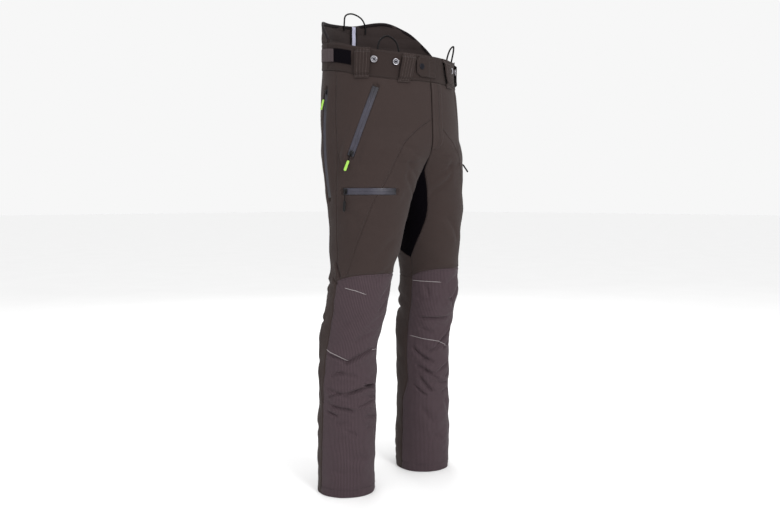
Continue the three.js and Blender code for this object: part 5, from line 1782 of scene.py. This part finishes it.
height = np.linspace(FLY_BOTTOM + 2 * MM, FLY_TOP - 2 * MM, 70)
j_line = fly_edge(height) * 0.6
fly_rows = [np.stack([j_line, front_face(j_line, height, LAY_GAP + 1.6 * MM), height], -1),
            np.stack([j_line + 3 * MM, front_face(j_line + 3 * MM, height, LAY_GAP + 1.6 * MM),
                      height], -1)[6:]]
stitches("fly_stitches", fly_rows, BODY, SEAM_THREAD, 2.8 * MM, 2.0 * MM)

guard_rows = []
for row in (1, 2, 3, 4):
    angle = np.linspace(12, 168, 220)
    height = mirrored(band_upper)(angle) + GUARD_ROW * row
    inside = np.flatnonzero(height < guard_rim(angle) - 10 * MM)
    for group in np.split(inside, np.flatnonzero(np.diff(inside) > 1) + 1):
        if len(group) < 4:
            continue
        normals = outward(waist_point, 1, angle[group], height[group])
        base = waist_point(1, angle[group], height[group])
        guard_rows.append(base + normals * 0.75 * MM)
        guard_rows.append(base + normals * (GUARD_IN + 0.8 * MM))
stitches("guard_stitches", guard_rows, BODY, SEAM_THREAD, 4.0 * MM, 3.0 * MM)
stitches("loop_stitches", loop_ends, BODY, PALE_THREAD, 1.9 * MM, 1.7 * MM, 0.5 * MM)

tab_rows = []
inset = 3.2 * MM
degrees = math.degrees(inset / 0.145)
corners = [(TAB_ROOT - 1, TAB_LOW + inset), (TAB_TIP + TAB_CORNER, TAB_LOW + inset),
           (TAB_TIP + degrees, TAB_LOW + 0.010 + inset),
           (TAB_TIP + degrees, TAB_LOW + TAB_HEIGHT - 0.010 - inset),
           (TAB_TIP + TAB_CORNER, TAB_LOW + TAB_HEIGHT - inset),
           (TAB_ROOT - 1, TAB_LOW + TAB_HEIGHT - inset)]
angle = np.concatenate([np.linspace(a[0], b[0], 20) for a, b in zip(corners[:-1], corners[1:])])
height = np.concatenate([np.linspace(a[1], b[1], 20) for a, b in zip(corners[:-1], corners[1:])])
normals = outward(waist_point, 1, angle, height)
tab_rows.append(waist_point(1, angle, height) + normals * (tab_seat(angle) + TAB_CLOTH - 0.15 * MM)[:, None])
stitches("tab_stitches", tab_rows, "waist_tab", SEAM_THREAD, 2.8 * MM, 2.0 * MM)

# %% [markdown]
# ## Studio
# A wide pale floor under a white sky. The sky looks even, but it lights the cloth more from
# above than from the sides, as an overhead softbox does, so that the folds keep their shade.
# The key lamp stands to the right of the camera, a weak wide fill to its left, and one more
# behind and one above bring out the edges.

# %% Floor and lights
FLOOR_REACH = 40
corners = [(x * FLOOR_REACH, y * FLOOR_REACH, -0.5 * MM) for x, y in ((-1, -1), (1, -1), (1, 1), (-1, 1))]
floor_mesh = mesh_from("studio_floor", corners, [(0, 1, 2, 3)], smooth=False)
floor_tree = Tree("pale_floor")
floor_place = floor_tree.coordinates("Object")
floor_tone = floor_tree.mix(floor_tree.noise(floor_place, 3.0), (0.90, 0.90, 0.90, 1), (0.94, 0.94, 0.94, 1))
floor = new_object("studio_floor", floor_mesh, floor_tree.finish(Base_Color=floor_tone, Roughness=0.9,
                                                                    Specular_IOR_Level=0.0))

world = bpy.data.worlds.new("studio")
world.use_nodes = True
sky_nodes, sky_links = world.node_tree.nodes, world.node_tree.links
background = sky_nodes["Background"]
background.inputs["Color"].default_value = (1, 1, 1, 1)
direction = sky_nodes.new("ShaderNodeTexCoord")
split = sky_nodes.new("ShaderNodeSeparateXYZ")
height_light = sky_nodes.new("ShaderNodeMapRange")
height_light.inputs["To Min"].default_value = 0.22
height_light.inputs["To Max"].default_value = 1.35
rays = sky_nodes.new("ShaderNodeLightPath")
strength = sky_nodes.new("ShaderNodeMix")
strength.inputs[3].default_value = 0.93
for start, end in ((direction.outputs["Generated"], split.inputs[0]),
                   (split.outputs["Z"], height_light.inputs["Value"]),
                   (rays.outputs["Is Camera Ray"], strength.inputs[0]),
                   (height_light.outputs["Result"], strength.inputs[2]),
                   (strength.outputs[0], background.inputs["Strength"])):
    sky_links.new(start, end)
bpy.context.scene.world = world
bpy.context.scene.view_settings.view_transform = "Standard"


def lamp(name, place, target, size, power):
    data = bpy.data.lights.new(name, "AREA")
    data.shape, data.size, data.energy = "SQUARE", size, power
    light = bpy.data.objects.new(name, data)
    collection.objects.link(light)
    light.location = place
    light.rotation_euler = (Vector(target) - Vector(place)).to_track_quat("-Z", "Y").to_euler()


lamp("key_lamp", (-0.7, -2.9, 2.1), (0, 0, 0.65), 1.0, 50)
lamp("fill_lamp", (-2.9, -0.4, 1.5), (0, 0, 0.6), 1.8, 8)
lamp("rim_lamp", (1.6, 2.2, 2.6), (0, 0, 0.8), 1.6, 36)
lamp("top_lamp", (-0.3, -0.3, 3.0), (0, 0, 0.8), 1.6, 8)
